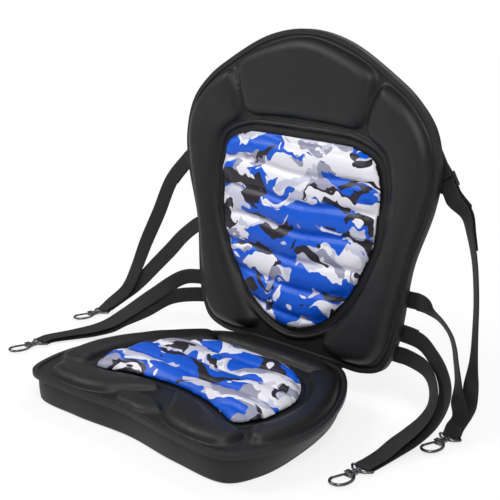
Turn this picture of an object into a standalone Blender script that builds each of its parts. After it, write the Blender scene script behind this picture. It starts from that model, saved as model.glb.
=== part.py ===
# Kayak seat: a moulded cushion and a folding backrest with four clip-on straps.
# Units are metres, Z is up, the sitter faces -Y and the sitter's left is +X.
# The origin is the middle of the flat underside of the seat.
import math
import bpy
import bmesh
import numpy as np
from mathutils import Vector

# Sizes of the seat
SEAT_FRONT = -0.187
SEAT_REAR = 0.158
SEAT_HALF_WIDTH = 0.233
GRIP_THICK = 0.0020
TRAY_WALL = 0.0030
FLANGE_Z = 0.0405
LIP_THICK = 0.0020
COVER_THICK = 0.0024
SEAT_PAD_HEIGHT = 0.0148
SEAT_NUB_HEIGHT = 0.0100
SEAT_BAR_HEIGHT = 0.0115
FOOT_GAP = 0.0004
WALL_INSET = 0.0095
CUSHION_RIM = 0.0050
CUSHION_CROWN = 0.0090
CHANNEL_DEPTH = 0.0022
CHANNEL_PITCH = 0.0440

# Sizes of the backrest
BACK_HEIGHT = 0.499
BACK_HALF_WIDTH = 0.250
RECLINE = math.radians(3.15)
BACK_Y = 0.1672
BACK_Z = 0.0400
SHELL_THICK = 0.0040
BACK_PAD_HEIGHT = 0.0190
TOP_PAD_HEIGHT = 0.0170
REAR_DOME = 0.0120

# Edge binding
BIND_THICK = 0.0012
BIND_WIDTH = 0.0085

# Clearances
FIT = 0.0003
SWIVEL_FIT = 0.00035
GATE_FIT = 0.0004

# Webbing and fittings
WEB_WIDTH = 0.0250
WEB_THICK = 0.0016
BAR_RADIUS = 0.0017
WEB_TURN = BAR_RADIUS + 0.0005 + WEB_THICK / 2.0
HOOK_Z = 0.0050
HOOK_BAR = 0.0020
EYE_HALF = 0.0165
EYE_DEPTH = 0.0120
BOSS_RADIUS = 0.0043
BOSS_LENGTH = 0.0060
SHANK_RADIUS = 0.0020
HEAD_RADIUS = 0.0033
HOOK_LENGTH = 0.0660
GATE_BAR = 0.0016
GATE_EYE = 0.0030
PIN_RADIUS = 0.0010
BUCKLE_HALF = 0.0165
BUCKLE_BAR = 0.0012
BUCKLE_PITCH = 0.0090
FLAP_THICK = 0.0010
FLAP_WIDTH = 0.2100

# Mesh density
RING = 56
BEND_WEIGHT = 0.05
ROUND = 8

BLACK = (0.030, 0.030, 0.032, 1.0)
WEB_BLACK = (0.022, 0.022, 0.024, 1.0)
STEEL = (0.20, 0.20, 0.215, 1.0)
CAMO_BLUE = (0.36, 0.42, 0.72, 1.0)
FOAM = (0.55, 0.55, 0.56, 1.0)

for old in list(bpy.data.objects):
    bpy.data.objects.remove(old, do_unlink=True)


def material(name, colour, rough, metal=0.0):
    mat = bpy.data.materials.new(name)
    mat.use_nodes = True
    node = mat.node_tree.nodes["Principled BSDF"]
    node.inputs["Base Color"].default_value = colour
    node.inputs["Roughness"].default_value = rough
    node.inputs["Metallic"].default_value = metal
    return mat


def add(name, verts, faces, colour, rough=0.8, metal=0.0):
    mesh = bpy.data.meshes.new(name)
    mesh.from_pydata([tuple(v) for v in verts], [], [tuple(f) for f in faces])
    bm = bmesh.new()
    bm.from_mesh(mesh)
    bmesh.ops.triangulate(bm, faces=bm.faces)
    bmesh.ops.recalc_face_normals(bm, faces=bm.faces)
    bm.to_mesh(mesh)
    bm.free()
    obj = bpy.data.objects.new(name, mesh)
    bpy.context.scene.collection.objects.link(obj)
    obj.data.materials.append(material("mat_" + name, colour, rough, metal))
    return obj


# Outlines and curves

def smooth_curve(points, count, closed=False, even=True):
    p = np.array(points, float)
    if closed:
        ext = np.vstack([p[-2:], p, p[:3]])
    else:
        ext = np.vstack([2 * p[0] - p[1], p, 2 * p[-1] - p[-2]])
    out = []
    first = 1 if not closed else 2
    spans = len(p) if closed else len(p) - 1
    for i in range(spans):
        a, b, c, d = ext[i + first - 1:i + first + 3]
        t0 = 0.0
        t1 = t0 + max(np.linalg.norm(b - a), 1e-9) ** 0.5
        t2 = t1 + max(np.linalg.norm(c - b), 1e-9) ** 0.5
        t3 = t2 + max(np.linalg.norm(d - c), 1e-9) ** 0.5
        for t in np.linspace(t1, t2, 24, endpoint=False):
            a1 = (t1 - t) / (t1 - t0) * a + (t - t0) / (t1 - t0) * b
            a2 = (t2 - t) / (t2 - t1) * b + (t - t1) / (t2 - t1) * c
            a3 = (t3 - t) / (t3 - t2) * c + (t - t2) / (t3 - t2) * d
            b1 = (t2 - t) / (t2 - t0) * a1 + (t - t0) / (t2 - t0) * a2
            b2 = (t3 - t) / (t3 - t1) * a2 + (t - t1) / (t3 - t1) * a3
            out.append((t2 - t) / (t2 - t1) * b1 + (t - t1) / (t2 - t1) * b2)
    out.append(p[0] if closed else p[-1])
    out = np.array(out)
    s = np.r_[0.0, np.cumsum(np.linalg.norm(np.diff(out, axis=0), axis=1))]
    if closed:
        # Points crowd where the outline bends
        step = np.diff(out, axis=0)
        ang = np.unwrap(np.arctan2(step[:, 1], step[:, 0]))
        size = np.diff(s)
        bend = np.abs(np.gradient(ang)) / np.maximum(size, 1e-9)
        bend = np.convolve(np.r_[bend[-12:], bend, bend[:12]], np.ones(25) / 25.0, "valid")
        dense = np.r_[0.0, np.cumsum(size * (1.0 + BEND_WEIGHT * bend))]
        grade = np.linspace(0.0, dense[-1], count, endpoint=False)
        want = np.interp(grade, dense, s)
    elif even:
        want = np.linspace(0.0, s[-1], count)
    else:
        ease = 0.5 - 0.5 * np.cos(np.linspace(0.0, math.pi, count))
        flat = np.linspace(0.0, 1.0, count)
        want = s[-1] * (0.6 * ease + 0.4 * flat)
    return np.stack([np.interp(want, s, out[:, k]) for k in range(out.shape[1])], 1)


def full_outline(half, count=RING):
    right = [tuple(q) for q in half]
    left = [(-x, y) for x, y in reversed(right[1:-1])]
    return smooth_curve(right + left, count, closed=True)


def inset(ring, distance):
    nxt = np.roll(ring, -1, axis=0)
    prv = np.roll(ring, 1, axis=0)
    tan = nxt - prv
    tan /= np.linalg.norm(tan, axis=1)[:, None]
    nor = np.stack([-tan[:, 1], tan[:, 0]], 1)
    return ring + nor * distance


SX = SEAT_HALF_WIDTH
SF = SEAT_FRONT
SR = SEAT_REAR
seat_outline = full_outline([
    (0.0, SF + 0.009), (0.108, SF), (SX - 0.032, SF + 0.006), (SX - 0.004, SF + 0.058),
    (SX, SF + 0.147), (SX - 0.034, SR - 0.106), (SX - 0.085, SR - 0.033),
    (SX - 0.123, SR - 0.004), (0.050, SR), (0.0, SR)])
tray_outline = full_outline([
    (0.0, SF + 0.018), (0.105, SF + 0.009), (SX - 0.038, SF + 0.0145), (SX - 0.019, SF + 0.062),
    (SX - 0.026, SF + 0.146), (SX - 0.052, SR - 0.107), (SX - 0.092, SR - 0.040),
    (SX - 0.128, SR - 0.016), (0.050, SR - 0.012), (0.0, SR - 0.012)])
BH = BACK_HEIGHT
BX = BACK_HALF_WIDTH
back_outline = full_outline([
    (0.0, 0.002), (0.100, 0.002), (BX - 0.105, 0.003), (BX - 0.070, 0.016), (BX - 0.052, 0.048),
    (BX - 0.043, 0.090), (BX - 0.033, 0.177), (BX - 0.006, BH - 0.234), (BX, BH - 0.180),
    (BX - 0.013, BH - 0.125), (BX - 0.047, BH - 0.085), (BX - 0.089, BH - 0.056),
    (0.076, BH - 0.013), (0.0, BH)])

back_up = np.array([0.0, math.sin(RECLINE), math.cos(RECLINE)])
back_front = np.array([0.0, -math.cos(RECLINE), math.sin(RECLINE)])


def seat_place(points, height):
    pts = np.asarray(points, float)
    high = np.broadcast_to(height, (len(pts),))
    return np.column_stack([pts[:, 0], pts[:, 1], high])


def back_place(points, height):
    pts = np.asarray(points, float)
    high = np.broadcast_to(height, (len(pts),))[:, None]
    base = np.array([0.0, BACK_Y, BACK_Z])
    across = np.column_stack([pts[:, 0], np.zeros(len(pts)), np.zeros(len(pts))])
    return base + across + pts[:, 1:2] * back_up + high * back_front


# Solids made from stacks of rings

def ring_solid(rings, closed_ring=False):
    n = len(rings[0])
    verts = [tuple(v) for ring in rings for v in ring]
    faces = []
    last = len(rings) if closed_ring else len(rings) - 1
    for k in range(last):
        a = k * n
        b = ((k + 1) % len(rings)) * n
        for i in range(n):
            j = (i + 1) % n
            faces.append((a + i, a + j, b + j, b + i))
    if not closed_ring:
        faces.append(tuple(reversed(range(n))))
        faces.append(tuple(range((len(rings) - 1) * n, len(rings) * n)))
    return verts, faces


def pad_solid(lower, upper, base, height, rim, place, steps, roll=0.0, steep=6.0, ends=8.0):
    # A pad between two edge curves with rounded shoulders and a flat bottom
    ns = len(lower)
    tt = 0.5 - 0.5 * np.cos(np.linspace(0.0, math.pi, steps))
    verts = []
    length = np.linspace(0.0, 1.0, ns)
    for i in range(ns):
        row = lower[i] + (upper[i] - lower[i]) * tt[:, None]
        along = max(1.0 - abs(2.0 * length[i] - 1.0) ** ends, 0.0) ** 0.5
        across = np.maximum(1.0 - np.abs(2.0 * tt - 1.0) ** steep, 0.0) ** 0.5
        shape = along * across
        high = base + rim + (height - rim) * shape
        if roll:
            wave = 0.5 + 0.5 * np.cos(2.0 * math.pi * row[:, 1] / CHANNEL_PITCH)
            high = high - roll * wave ** 3 * np.minimum(shape * 1.6, 1.0)
        verts.extend(place(row, high))
    faces = []
    for i in range(ns - 1):
        for j in range(steps - 1):
            a = i * steps + j
            faces.append((a, a + steps, a + steps + 1, a + 1))
    loop = [i * steps for i in range(ns)]
    loop += [(ns - 1) * steps + j for j in range(1, steps)]
    loop += [i * steps + steps - 1 for i in range(ns - 2, -1, -1)]
    loop += [j for j in range(steps - 2, 0, -1)]
    if rim <= 0.0:
        faces.append(tuple(loop))
        return verts, faces
    flat = []
    for k in loop:
        i, j = divmod(k, steps)
        flat.append(lower[i] + (upper[i] - lower[i]) * tt[j])
    start = len(verts)
    verts.extend(place(np.array(flat), base))
    n = len(loop)
    for k in range(n):
        m = (k + 1) % n
        faces.append((loop[k], loop[m], start + m, start + k))
    faces.append(tuple(range(start, start + n)))
    return verts, faces


def temp(verts, faces):
    return add("temp", verts, faces, BLACK)


def combine(target, tool, kind="UNION"):
    mod = target.modifiers.new("bool", "BOOLEAN")
    mod.operation = kind
    mod.solver = "EXACT"
    mod.object = tool
    graph = bpy.context.evaluated_depsgraph_get()
    graph.update()
    done = bpy.data.meshes.new_from_object(target.evaluated_get(graph))
    target.modifiers.clear()
    target.data = done
    bpy.data.objects.remove(tool, do_unlink=True)
    return target


def mirror(points):
    return [(-x, y) for x, y in points]


def two_sided(half):
    return mirror(reversed(half[1:])) + half


# Seat: grip panel, tray, foam and the moulded cover

grip_edge = inset(tray_outline, 0.012)
add("seat_grip_panel", *ring_solid([
    seat_place(grip_edge, 0.0), seat_place(grip_edge, GRIP_THICK)]), BLACK, 0.95)

tray_floor = GRIP_THICK + FIT
lip_top = FLANGE_Z + LIP_THICK
lip_edge = inset(seat_outline, BIND_THICK + FIT)
wall_out = inset(seat_outline, WALL_INSET)
wall_in = inset(seat_outline, WALL_INSET + TRAY_WALL)
tray_rings = [
    seat_place(inset(tray_outline, 0.0108), tray_floor),
    seat_place(inset(tray_outline, 0.0098), FOOT_GAP),
    seat_place(inset(tray_outline, 0.0040), FOOT_GAP),
    seat_place(inset(tray_outline, 0.0012), FOOT_GAP + 0.0016),
    seat_place(tray_outline, FOOT_GAP + 0.0055),
    seat_place(wall_out, FLANGE_Z),
    seat_place(lip_edge, FLANGE_Z),
    seat_place(lip_edge, lip_top),
    seat_place(wall_in, lip_top),
    seat_place(inset(tray_outline, TRAY_WALL), tray_floor + 0.0075),
    seat_place(inset(tray_outline, 0.0100), tray_floor + TRAY_WALL)]
add("seat_tray", *ring_solid(tray_rings), BLACK, 0.75)

foam_low = tray_floor + TRAY_WALL + FIT
foam_top = lip_top
add("seat_foam_core", *ring_solid([
    seat_place(inset(tray_outline, 0.0125), foam_low),
    seat_place(inset(tray_outline, TRAY_WALL + 0.0020), foam_low + 0.0050),
    seat_place(inset(seat_outline, WALL_INSET + TRAY_WALL + 0.0020), foam_top)]), FOAM, 0.95)

cover_low = lip_top + FIT
cover_top = cover_low + COVER_THICK
SINK = 0.0020
cover = add("seat_cover", *ring_solid([
    seat_place(lip_edge, cover_low), seat_place(lip_edge, cover_top)]), BLACK, 0.7)


def curve(points, count=13):
    return smooth_curve(points, count, even=False)


PF = SEAT_FRONT
front_low = [(0.040, PF + 0.059), (0.060, PF + 0.031), (0.095, PF + 0.016), (0.150, PF + 0.014),
             (0.180, PF + 0.023)]
front_up = [(0.030, PF + 0.094), (0.070, PF + 0.091), (0.110, PF + 0.078), (0.150, PF + 0.071),
            (0.184, PF + 0.061)]
side_out = [(SX - 0.031, PF + 0.053), (SX - 0.017, PF + 0.085), (SX - 0.012, PF + 0.147),
            (SX - 0.036, SR - 0.125), (SX - 0.074, SR - 0.066), (SX - 0.104, SR - 0.034)]
side_in = [(SX - 0.064, PF + 0.084), (SX - 0.056, PF + 0.108), (SX - 0.0545, PF + 0.140),
           (SX - 0.066, SR - 0.145), (SX - 0.106, SR - 0.089), (SX - 0.138, SR - 0.060)]
bar_low = [(-0.108, SR - 0.050), (-0.055, SR - 0.048), (0.0, SR - 0.047), (0.055, SR - 0.048),
           (0.108, SR - 0.050)]
bar_up = [(-0.110, SR - 0.018), (-0.055, SR - 0.014), (0.0, SR - 0.013), (0.055, SR - 0.014),
          (0.110, SR - 0.018)]
nub_low = [(-0.046, PF + 0.036), (-0.028, PF + 0.022), (0.0, PF + 0.019), (0.028, PF + 0.022),
           (0.046, PF + 0.036)]
nub_up = [(-0.044, PF + 0.042), (-0.024, PF + 0.056), (0.0, PF + 0.060), (0.024, PF + 0.056),
          (0.044, PF + 0.042)]
seat_pads = [
    (front_low, front_up, SEAT_PAD_HEIGHT), (mirror(front_low), mirror(front_up), SEAT_PAD_HEIGHT),
    (side_out, side_in, SEAT_PAD_HEIGHT), (mirror(side_out), mirror(side_in), SEAT_PAD_HEIGHT),
    (bar_low, bar_up, SEAT_BAR_HEIGHT), (nub_low, nub_up, SEAT_NUB_HEIGHT)]
for low, up, high in seat_pads:
    tool = temp(*pad_solid(curve(low), curve(up), cover_top - SINK, high + SINK, 0.0,
                           seat_place, 7))
    combine(cover, tool)

cushion_low = two_sided([(0.0, SF + 0.107), (0.055, SF + 0.101), (SX - 0.124, SF + 0.087),
                         (SX - 0.083, SF + 0.080), (SX - 0.063, SF + 0.112)])
cushion_up = two_sided([(0.0, SR - 0.057), (SX - 0.169, SR - 0.064), (SX - 0.114, SR - 0.093),
                        (SX - 0.072, SR - 0.147), (SX - 0.061, SF + 0.132)])
add("seat_cushion", *pad_solid(
    curve(cushion_low, 21), curve(cushion_up, 21), cover_top + FIT, CUSHION_RIM + CUSHION_CROWN,
    CUSHION_RIM, seat_place, 21, CHANNEL_DEPTH, 4.0, 5.0), CAMO_BLUE, 0.6)


def binding(name, outline, place, low, high):
    out = BIND_THICK
    section = [(-BIND_WIDTH, high + out), (-0.0008, high + out), (0.0, high + out - 0.0008),
               (0.0, low - out + 0.0008), (-0.0008, low - out), (-BIND_WIDTH, low - out),
               (-BIND_WIDTH, low), (-out, low), (-out, high), (-BIND_WIDTH, high)]
    rings = [place(inset(outline, -r), z) for r, z in section]
    add(name, *ring_solid(rings, closed_ring=True), BLACK, 0.85)


binding("seat_binding", seat_outline, seat_place, FLANGE_Z - FIT, cover_top + FIT)

# Backrest: moulded front, foam, rear shell, binding and cushion

front_low_n = FIT
front_top = FIT + SHELL_THICK
back_edge = inset(back_outline, BIND_THICK + FIT)
front_shell = add("backrest_front", *ring_solid([
    back_place(back_edge, front_low_n), back_place(back_edge, front_top)]), BLACK, 0.7)
top_low = two_sided([(0.0, BH - 0.132), (0.055, BH - 0.133), (0.114, BH - 0.134)])
top_up = two_sided([(0.0, BH - 0.014), (0.082, BH - 0.032), (0.136, BH - 0.058)])
bol_out = [(BX - 0.094, BH - 0.070), (BX - 0.050, BH - 0.100), (BX - 0.020, BH - 0.140),
           (BX - 0.011, BH - 0.180), (BX - 0.020, BH - 0.237), (BX - 0.041, 0.180),
           (BX - 0.054, 0.105), (BX - 0.066, 0.052), (BX - 0.088, 0.022), (0.100, 0.014)]
bol_in = [(BX - 0.107, BH - 0.073), (BX - 0.123, BH - 0.108), (BX - 0.123, BH - 0.140),
          (BX - 0.086, BH - 0.170), (BX - 0.075, BH - 0.228), (BX - 0.087, 0.195),
          (BX - 0.108, 0.140), (BX - 0.136, 0.090), (0.082, 0.052), (0.066, 0.030)]
back_pads = [
    (top_low, top_up, TOP_PAD_HEIGHT, 13), (bol_out, bol_in, BACK_PAD_HEIGHT, 22),
    (mirror(bol_out), mirror(bol_in), BACK_PAD_HEIGHT, 22)]
for low, up, high, count in back_pads:
    tool = temp(*pad_solid(curve(low, count), curve(up, count), front_top - SINK, high + SINK,
                           0.0, back_place, 7))
    combine(front_shell, tool)

panel_low = two_sided([(0.0, 0.034), (BX - 0.175, 0.061), (BX - 0.123, 0.123),
                       (BX - 0.092, 0.195), (BX - 0.086, BH - 0.244)])
panel_up = two_sided([(0.0, BH - 0.154), (0.055, BH - 0.154), (BX - 0.145, BH - 0.157),
                      (BX - 0.099, BH - 0.177), (BX - 0.084, BH - 0.224)])
add("backrest_cushion", *pad_solid(
    curve(panel_low, 19), curve(panel_up, 19), front_top + FIT, CUSHION_RIM + CUSHION_CROWN * 0.8,
    CUSHION_RIM * 0.6, back_place, 29, CHANNEL_DEPTH, 4.0, 5.0), CAMO_BLUE, 0.6)

LIP_FLAT = 0.0160
rear_rings = [
    back_place(back_edge, -FIT), back_place(back_edge, -FIT - SHELL_THICK),
    back_place(inset(back_outline, LIP_FLAT), -FIT - SHELL_THICK),
    back_place(inset(back_outline, LIP_FLAT + 0.0090), -REAR_DOME + 0.0020),
    back_place(inset(back_outline, LIP_FLAT + 0.0160), -REAR_DOME),
    back_place(inset(back_outline, LIP_FLAT + 0.0190), -REAR_DOME + SHELL_THICK),
    back_place(inset(back_outline, LIP_FLAT + 0.0060), -FIT)]
rear_verts = [tuple(v) for ring in rear_rings for v in ring]
rear_faces = []
for level in range(len(rear_rings) - 1):
    if level == 4:
        continue
    for i in range(RING):
        j = (i + 1) % RING
        rear_faces.append((level * RING + i, level * RING + j, (level + 1) * RING + j,
                           (level + 1) * RING + i))
for i in range(RING):
    j = (i + 1) % RING
    rear_faces.append((6 * RING + i, 6 * RING + j, j, i))
rear_faces.append(tuple(range(4 * RING, 5 * RING)))
rear_faces.append(tuple(range(5 * RING, 6 * RING)))
add("backrest_rear", rear_verts, rear_faces, BLACK, 0.8)
add("backrest_foam_core", *ring_solid([
    back_place(inset(back_outline, LIP_FLAT + 0.0070), -FIT),
    back_place(inset(back_outline, LIP_FLAT + 0.0200), -REAR_DOME + SHELL_THICK + FIT)]),
    FOAM, 0.95)
binding("backrest_binding", back_outline, back_place, -SHELL_THICK - 2 * FIT,
        SHELL_THICK + 2 * FIT)


# Webbing: a flat section carried along a route

def unit(v):
    return v / np.linalg.norm(v)


def ribbon(route, sides, width, thick):
    p = np.array(route, float)
    w = np.array(sides, float)
    n = len(p)
    rings = []
    for i in range(n):
        t = unit(p[min(i + 1, n - 1)] - p[max(i - 1, 0)])
        side = unit(w[i] - t * np.dot(w[i], t))
        up = np.cross(t, side)
        a = side * width / 2.0
        b = up * thick / 2.0
        rings.append([p[i] - a - b, p[i] + a - b, p[i] + a + b, p[i] - a + b])
    return ring_solid(rings)


def turn(centre, start, bulge, radius, count=7):
    # Half a turn round a bar, from centre+start*radius over bulge to centre-start*radius
    ang = np.linspace(0.0, math.pi, count)
    return [centre + radius * (start * math.cos(a) + bulge * math.sin(a)) for a in ang]


def tube(route, radius, sides=ROUND, closed=False, first=None):
    p = np.array(route, float)
    n = len(p)
    rings = []
    up = np.array([0.0, 0.0, 1.0]) if first is None else np.array(first, float)
    for i in range(n):
        if closed:
            t = unit(p[(i + 1) % n] - p[i - 1])
        else:
            t = unit(p[min(i + 1, n - 1)] - p[max(i - 1, 0)])
        a = unit(up - t * np.dot(up, t))
        b = np.cross(t, a)
        ring = []
        for k in range(sides):
            ang = 2.0 * math.pi * (k + 0.5) / sides
            ring.append(p[i] + radius * (a * math.cos(ang) + b * math.sin(ang)))
        rings.append(ring)
    return ring_solid(rings, closed_ring=closed)


def disc(centre, axis, radius, low, high, sides=12):
    axis = unit(np.array(axis, float))
    ref = np.array([1.0, 0.0, 0.0]) if abs(axis[0]) < 0.9 else np.array([0.0, 1.0, 0.0])
    a = unit(np.cross(axis, ref))
    b = np.cross(axis, a)
    rings = []
    for level in (low, high):
        rings.append([centre + axis * level + radius * (
            a * math.cos(2 * math.pi * k / sides) + b * math.sin(2 * math.pi * k / sides))
            for k in range(sides)])
    return ring_solid(rings)


def box(low, high):
    x0, y0, z0 = low
    x1, y1, z1 = high
    rings = [[(x0, y0, z), (x1, y0, z), (x1, y1, z), (x0, y1, z)] for z in (z0, z1)]
    return ring_solid(rings)


# Swivel hooks, drawn once about the eye bar and then copied to each place

def hook_point(side, along):
    return np.array([side, -along, 0.0])


boss_start = EYE_DEPTH - 0.0010
boss_end = boss_start + BOSS_LENGTH
eye_route = [hook_point(-EYE_HALF + 0.0030, 0.0), hook_point(0.0, 0.0),
             hook_point(EYE_HALF - 0.0030, 0.0), hook_point(EYE_HALF, 0.0030),
             hook_point(EYE_HALF - 0.0030, 0.0075), hook_point(0.0075, EYE_DEPTH + 0.0010),
             hook_point(0.0, EYE_DEPTH + 0.0015), hook_point(-0.0075, EYE_DEPTH + 0.0010),
             hook_point(-EYE_HALF + 0.0030, 0.0075), hook_point(-EYE_HALF, 0.0030)]
eye = temp(*tube(eye_route, BAR_RADIUS, closed=True))
along_y = (0.0, -1.0, 0.0)
combine(eye, temp(*disc(hook_point(0, 0), along_y, BOSS_RADIUS, boss_start, boss_end, 16)))
combine(eye, temp(*disc(hook_point(0, 0), along_y, SHANK_RADIUS + SWIVEL_FIT,
                        boss_start - 0.0040, boss_end + 0.0020, 16)), "DIFFERENCE")

base_start = boss_end + SWIVEL_FIT
base_end = base_start + 0.0105
TIP = HOOK_LENGTH - HOOK_BAR
spine = [hook_point(0.0020, base_end - 0.0030), hook_point(0.0072, base_end + 0.0020),
         hook_point(0.0112, base_end + 0.0090), hook_point(0.0128, base_end + 0.0175),
         hook_point(0.0112, TIP - 0.0085), hook_point(0.0065, TIP - 0.0018), hook_point(0.0, TIP),
         hook_point(-0.0062, TIP - 0.0020), hook_point(-0.0102, TIP - 0.0075),
         hook_point(-0.0112, TIP - 0.0130)]
spine = smooth_curve(spine, 16)
hook = temp(*disc(hook_point(0, 0), along_y, SHANK_RADIUS, boss_start - SWIVEL_FIT - 0.0010,
                  base_start + 0.0010, 12))
combine(hook, temp(*disc(hook_point(0, 0), along_y, HEAD_RADIUS,
                         boss_start - SWIVEL_FIT - 0.0022, boss_start - SWIVEL_FIT, 12)))
combine(hook, temp(*disc(hook_point(0, 0), along_y, BOSS_RADIUS - 0.0002, base_start,
                         base_end - 0.0040, 16)))
pivot = hook_point(-0.0050, base_end + 0.0005)
cheek = 0.0034
combine(hook, temp(*box((-0.0085, -base_end - 0.0038, -cheek),
                        (0.0045, -base_end + 0.0055, cheek))))
combine(hook, temp(*tube(spine, HOOK_BAR)))
slot = GATE_BAR + GATE_FIT
combine(hook, temp(*box((-0.0120, -base_end - 0.0080, -slot),
                        (pivot[0] + GATE_EYE + GATE_FIT, -base_end + 0.0041, slot))),
        "DIFFERENCE")
combine(hook, temp(*disc(pivot, (0, 0, 1), PIN_RADIUS, -cheek + 0.0003, cheek - 0.0003, 10)))
nose = spine[-1]
gate_end = nose + unit(pivot - nose) * 0.0008
gate_dir = unit(gate_end - pivot)
gate = temp(*tube([pivot + gate_dir * 0.0016, pivot + gate_dir * 0.0100, gate_end], GATE_BAR))
combine(gate, temp(*disc(pivot, (0, 0, 1), GATE_EYE, -GATE_BAR, GATE_BAR, 14)))
combine(gate, temp(*disc(pivot, (0, 0, 1), PIN_RADIUS + GATE_FIT, -0.006, 0.006, 12)),
        "DIFFERENCE")

# Ladder-lock buckle about its anchor bar: side runs along X, outward along Y

buckle_long = BUCKLE_PITCH + 0.0080
rim = BUCKLE_BAR * 1.15
buckle = temp(*box((-BUCKLE_HALF, -0.0020, -rim), (BUCKLE_HALF, buckle_long + 0.0020, rim)))
web_slot = WEB_WIDTH / 2.0 + 0.0010
combine(buckle, temp(*box((-web_slot, BUCKLE_BAR, -0.01),
                          (web_slot, BUCKLE_PITCH - BUCKLE_BAR, 0.01))), "DIFFERENCE")
combine(buckle, temp(*box((-web_slot, BUCKLE_PITCH + BUCKLE_BAR, -0.01),
                          (web_slot, buckle_long - BUCKLE_BAR, 0.01))), "DIFFERENCE")


def copy_part(name, source, columns, origin, colour, rough, metal):
    frame = np.array(columns, float).T
    if np.linalg.det(frame) < 0:
        frame[:, 2] *= -1.0
    verts = [frame @ np.array(v.co) + origin for v in source.data.vertices]
    faces = [tuple(poly.vertices) for poly in source.data.polygons]
    return add(name, verts, faces, colour, rough, metal)


tab_depth = REAR_DOME + FIT + WEB_THICK / 2.0
sewn_gap = WEB_THICK + FIT + 0.0003
anchor_turn = BUCKLE_BAR + 0.0009 + WEB_THICK / 2.0
bar_depth = tab_depth + WEB_TURN + 0.0003

# Each strap: side of the seat, height and place of the anchor bar, how far the buckle points
# down, eye place, which run lies on top at the eye, height of the sewn end, how far the tail
# lies along the first run, how far each run turns edge-on, and the two runs
SIGHT = np.array([0.665, -0.700, 0.261])
straps = {
    "left_upper": dict(
        sign=-1, v=0.294, bar=BX - 0.010, lean=45.0, eye=(-0.4452, 0.149), first_on_top=True,
        sewn_v=0.163, tail=3.3, edge_on=(0.0, 0.0),
        first=[(-0.2712, 0.1985, 0.3044), (-0.3066, 0.1950, 0.2641), (-0.3347, 0.1900, 0.2036),
               (-0.3646, 0.1850, 0.1442), (-0.3892, 0.1800, 0.0876), (-0.4142, 0.1755, 0.0447),
               (-0.4340, 0.1740, 0.0200)],
        second=[(-0.4380, 0.1790, 0.0120), (-0.4169, 0.1820, 0.0380), (-0.3794, 0.1860, 0.0705),
                (-0.3421, 0.1890, 0.1065), (-0.3046, 0.1900, 0.1410),
                (-0.2700, 0.1905, 0.1740)]),
    "left_lower": dict(
        sign=-1, v=0.073, bar=0.152, lean=0.0, eye=(-0.3870, -0.030), first_on_top=True,
        sewn_v=0.042, tail=2.4, edge_on=(0.0, 0.0),
        first=[(-0.2462, 0.1700, 0.1080), (-0.2768, 0.1280, 0.0790), (-0.3119, 0.0900, 0.0440),
               (-0.3306, 0.0720, 0.0280), (-0.3479, 0.0520, 0.0185), (-0.3710, 0.0260, 0.0115)],
        second=[(-0.3715, 0.0220, 0.0042), (-0.3476, 0.0520, 0.0105), (-0.3316, 0.0720, 0.0185),
                (-0.3129, 0.0900, 0.0335), (-0.2859, 0.1120, 0.0510),
                (-0.2586, 0.1500, 0.0735)]),
    "right_upper": dict(
        sign=1, v=0.312, bar=BX - 0.003, lean=58.0, eye=(0.3197, 0.143), first_on_top=False,
        sewn_v=0.128, tail=4.4, edge_on=(2.6, 2.2),
        first=[(0.2830, 0.2010, 0.3030), (0.2920, 0.2020, 0.2760), (0.3030, 0.2000, 0.2400),
               (0.3120, 0.1960, 0.1890), (0.3170, 0.1905, 0.1490), (0.3212, 0.1850, 0.1000),
               (0.3214, 0.1825, 0.0690), (0.3205, 0.1800, 0.0365)],
        second=[(0.3155, 0.1690, 0.0240), (0.3075, 0.1740, 0.0440), (0.3002, 0.1820, 0.0690),
                (0.2900, 0.1900, 0.0930), (0.2810, 0.1970, 0.1110), (0.2710, 0.2010, 0.1260),
                (0.2540, 0.2010, 0.1430), (0.2370, 0.1960, 0.1550)]),
    "right_lower": dict(
        sign=1, v=0.075, bar=0.152, lean=0.0, eye=(0.2932, -0.018), first_on_top=False,
        sewn_v=0.042, tail=2.4, edge_on=(0.0, 0.0),
        first=[(0.2310, 0.1870, 0.1090), (0.2580, 0.1800, 0.0950), (0.2800, 0.1700, 0.0800),
               (0.2980, 0.1540, 0.0620), (0.3060, 0.1350, 0.0460), (0.3080, 0.1070, 0.0290),
               (0.3030, 0.0740, 0.0150), (0.2980, 0.0400, 0.0080)],
        second=[(0.2955, 0.0180, 0.0120), (0.2935, 0.0460, 0.0190), (0.2935, 0.0770, 0.0270),
                (0.2910, 0.1080, 0.0370), (0.2840, 0.1370, 0.0500), (0.2690, 0.1600, 0.0650),
                (0.2480, 0.1760, 0.0760)]),
}


def edge_half(v):
    right = back_outline[back_outline[:, 0] > 0.05]
    band = right[np.argsort(np.abs(right[:, 1] - v))[:6]]
    return band[:, 0].max()


def along(points, share):
    p = np.asarray(points, float)
    return np.array([np.interp(share, np.arange(len(p)), p[:, k]) for k in range(3)])


def twist(count, start, end, begin, finish, edge_on):
    # The webbing's width turns from start to end, and edge-on to the sight line between them
    sides = []
    for i in range(count):
        mix = min(max((i - begin) / (finish - begin), 0.0), 1.0)
        bell = math.sin(math.pi * mix) ** 2
        mix = mix * mix * (3.0 - 2.0 * mix)
        sides.append(unit(start * (1.0 - mix) + end * mix + SIGHT * edge_on * bell))
    return sides


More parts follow.
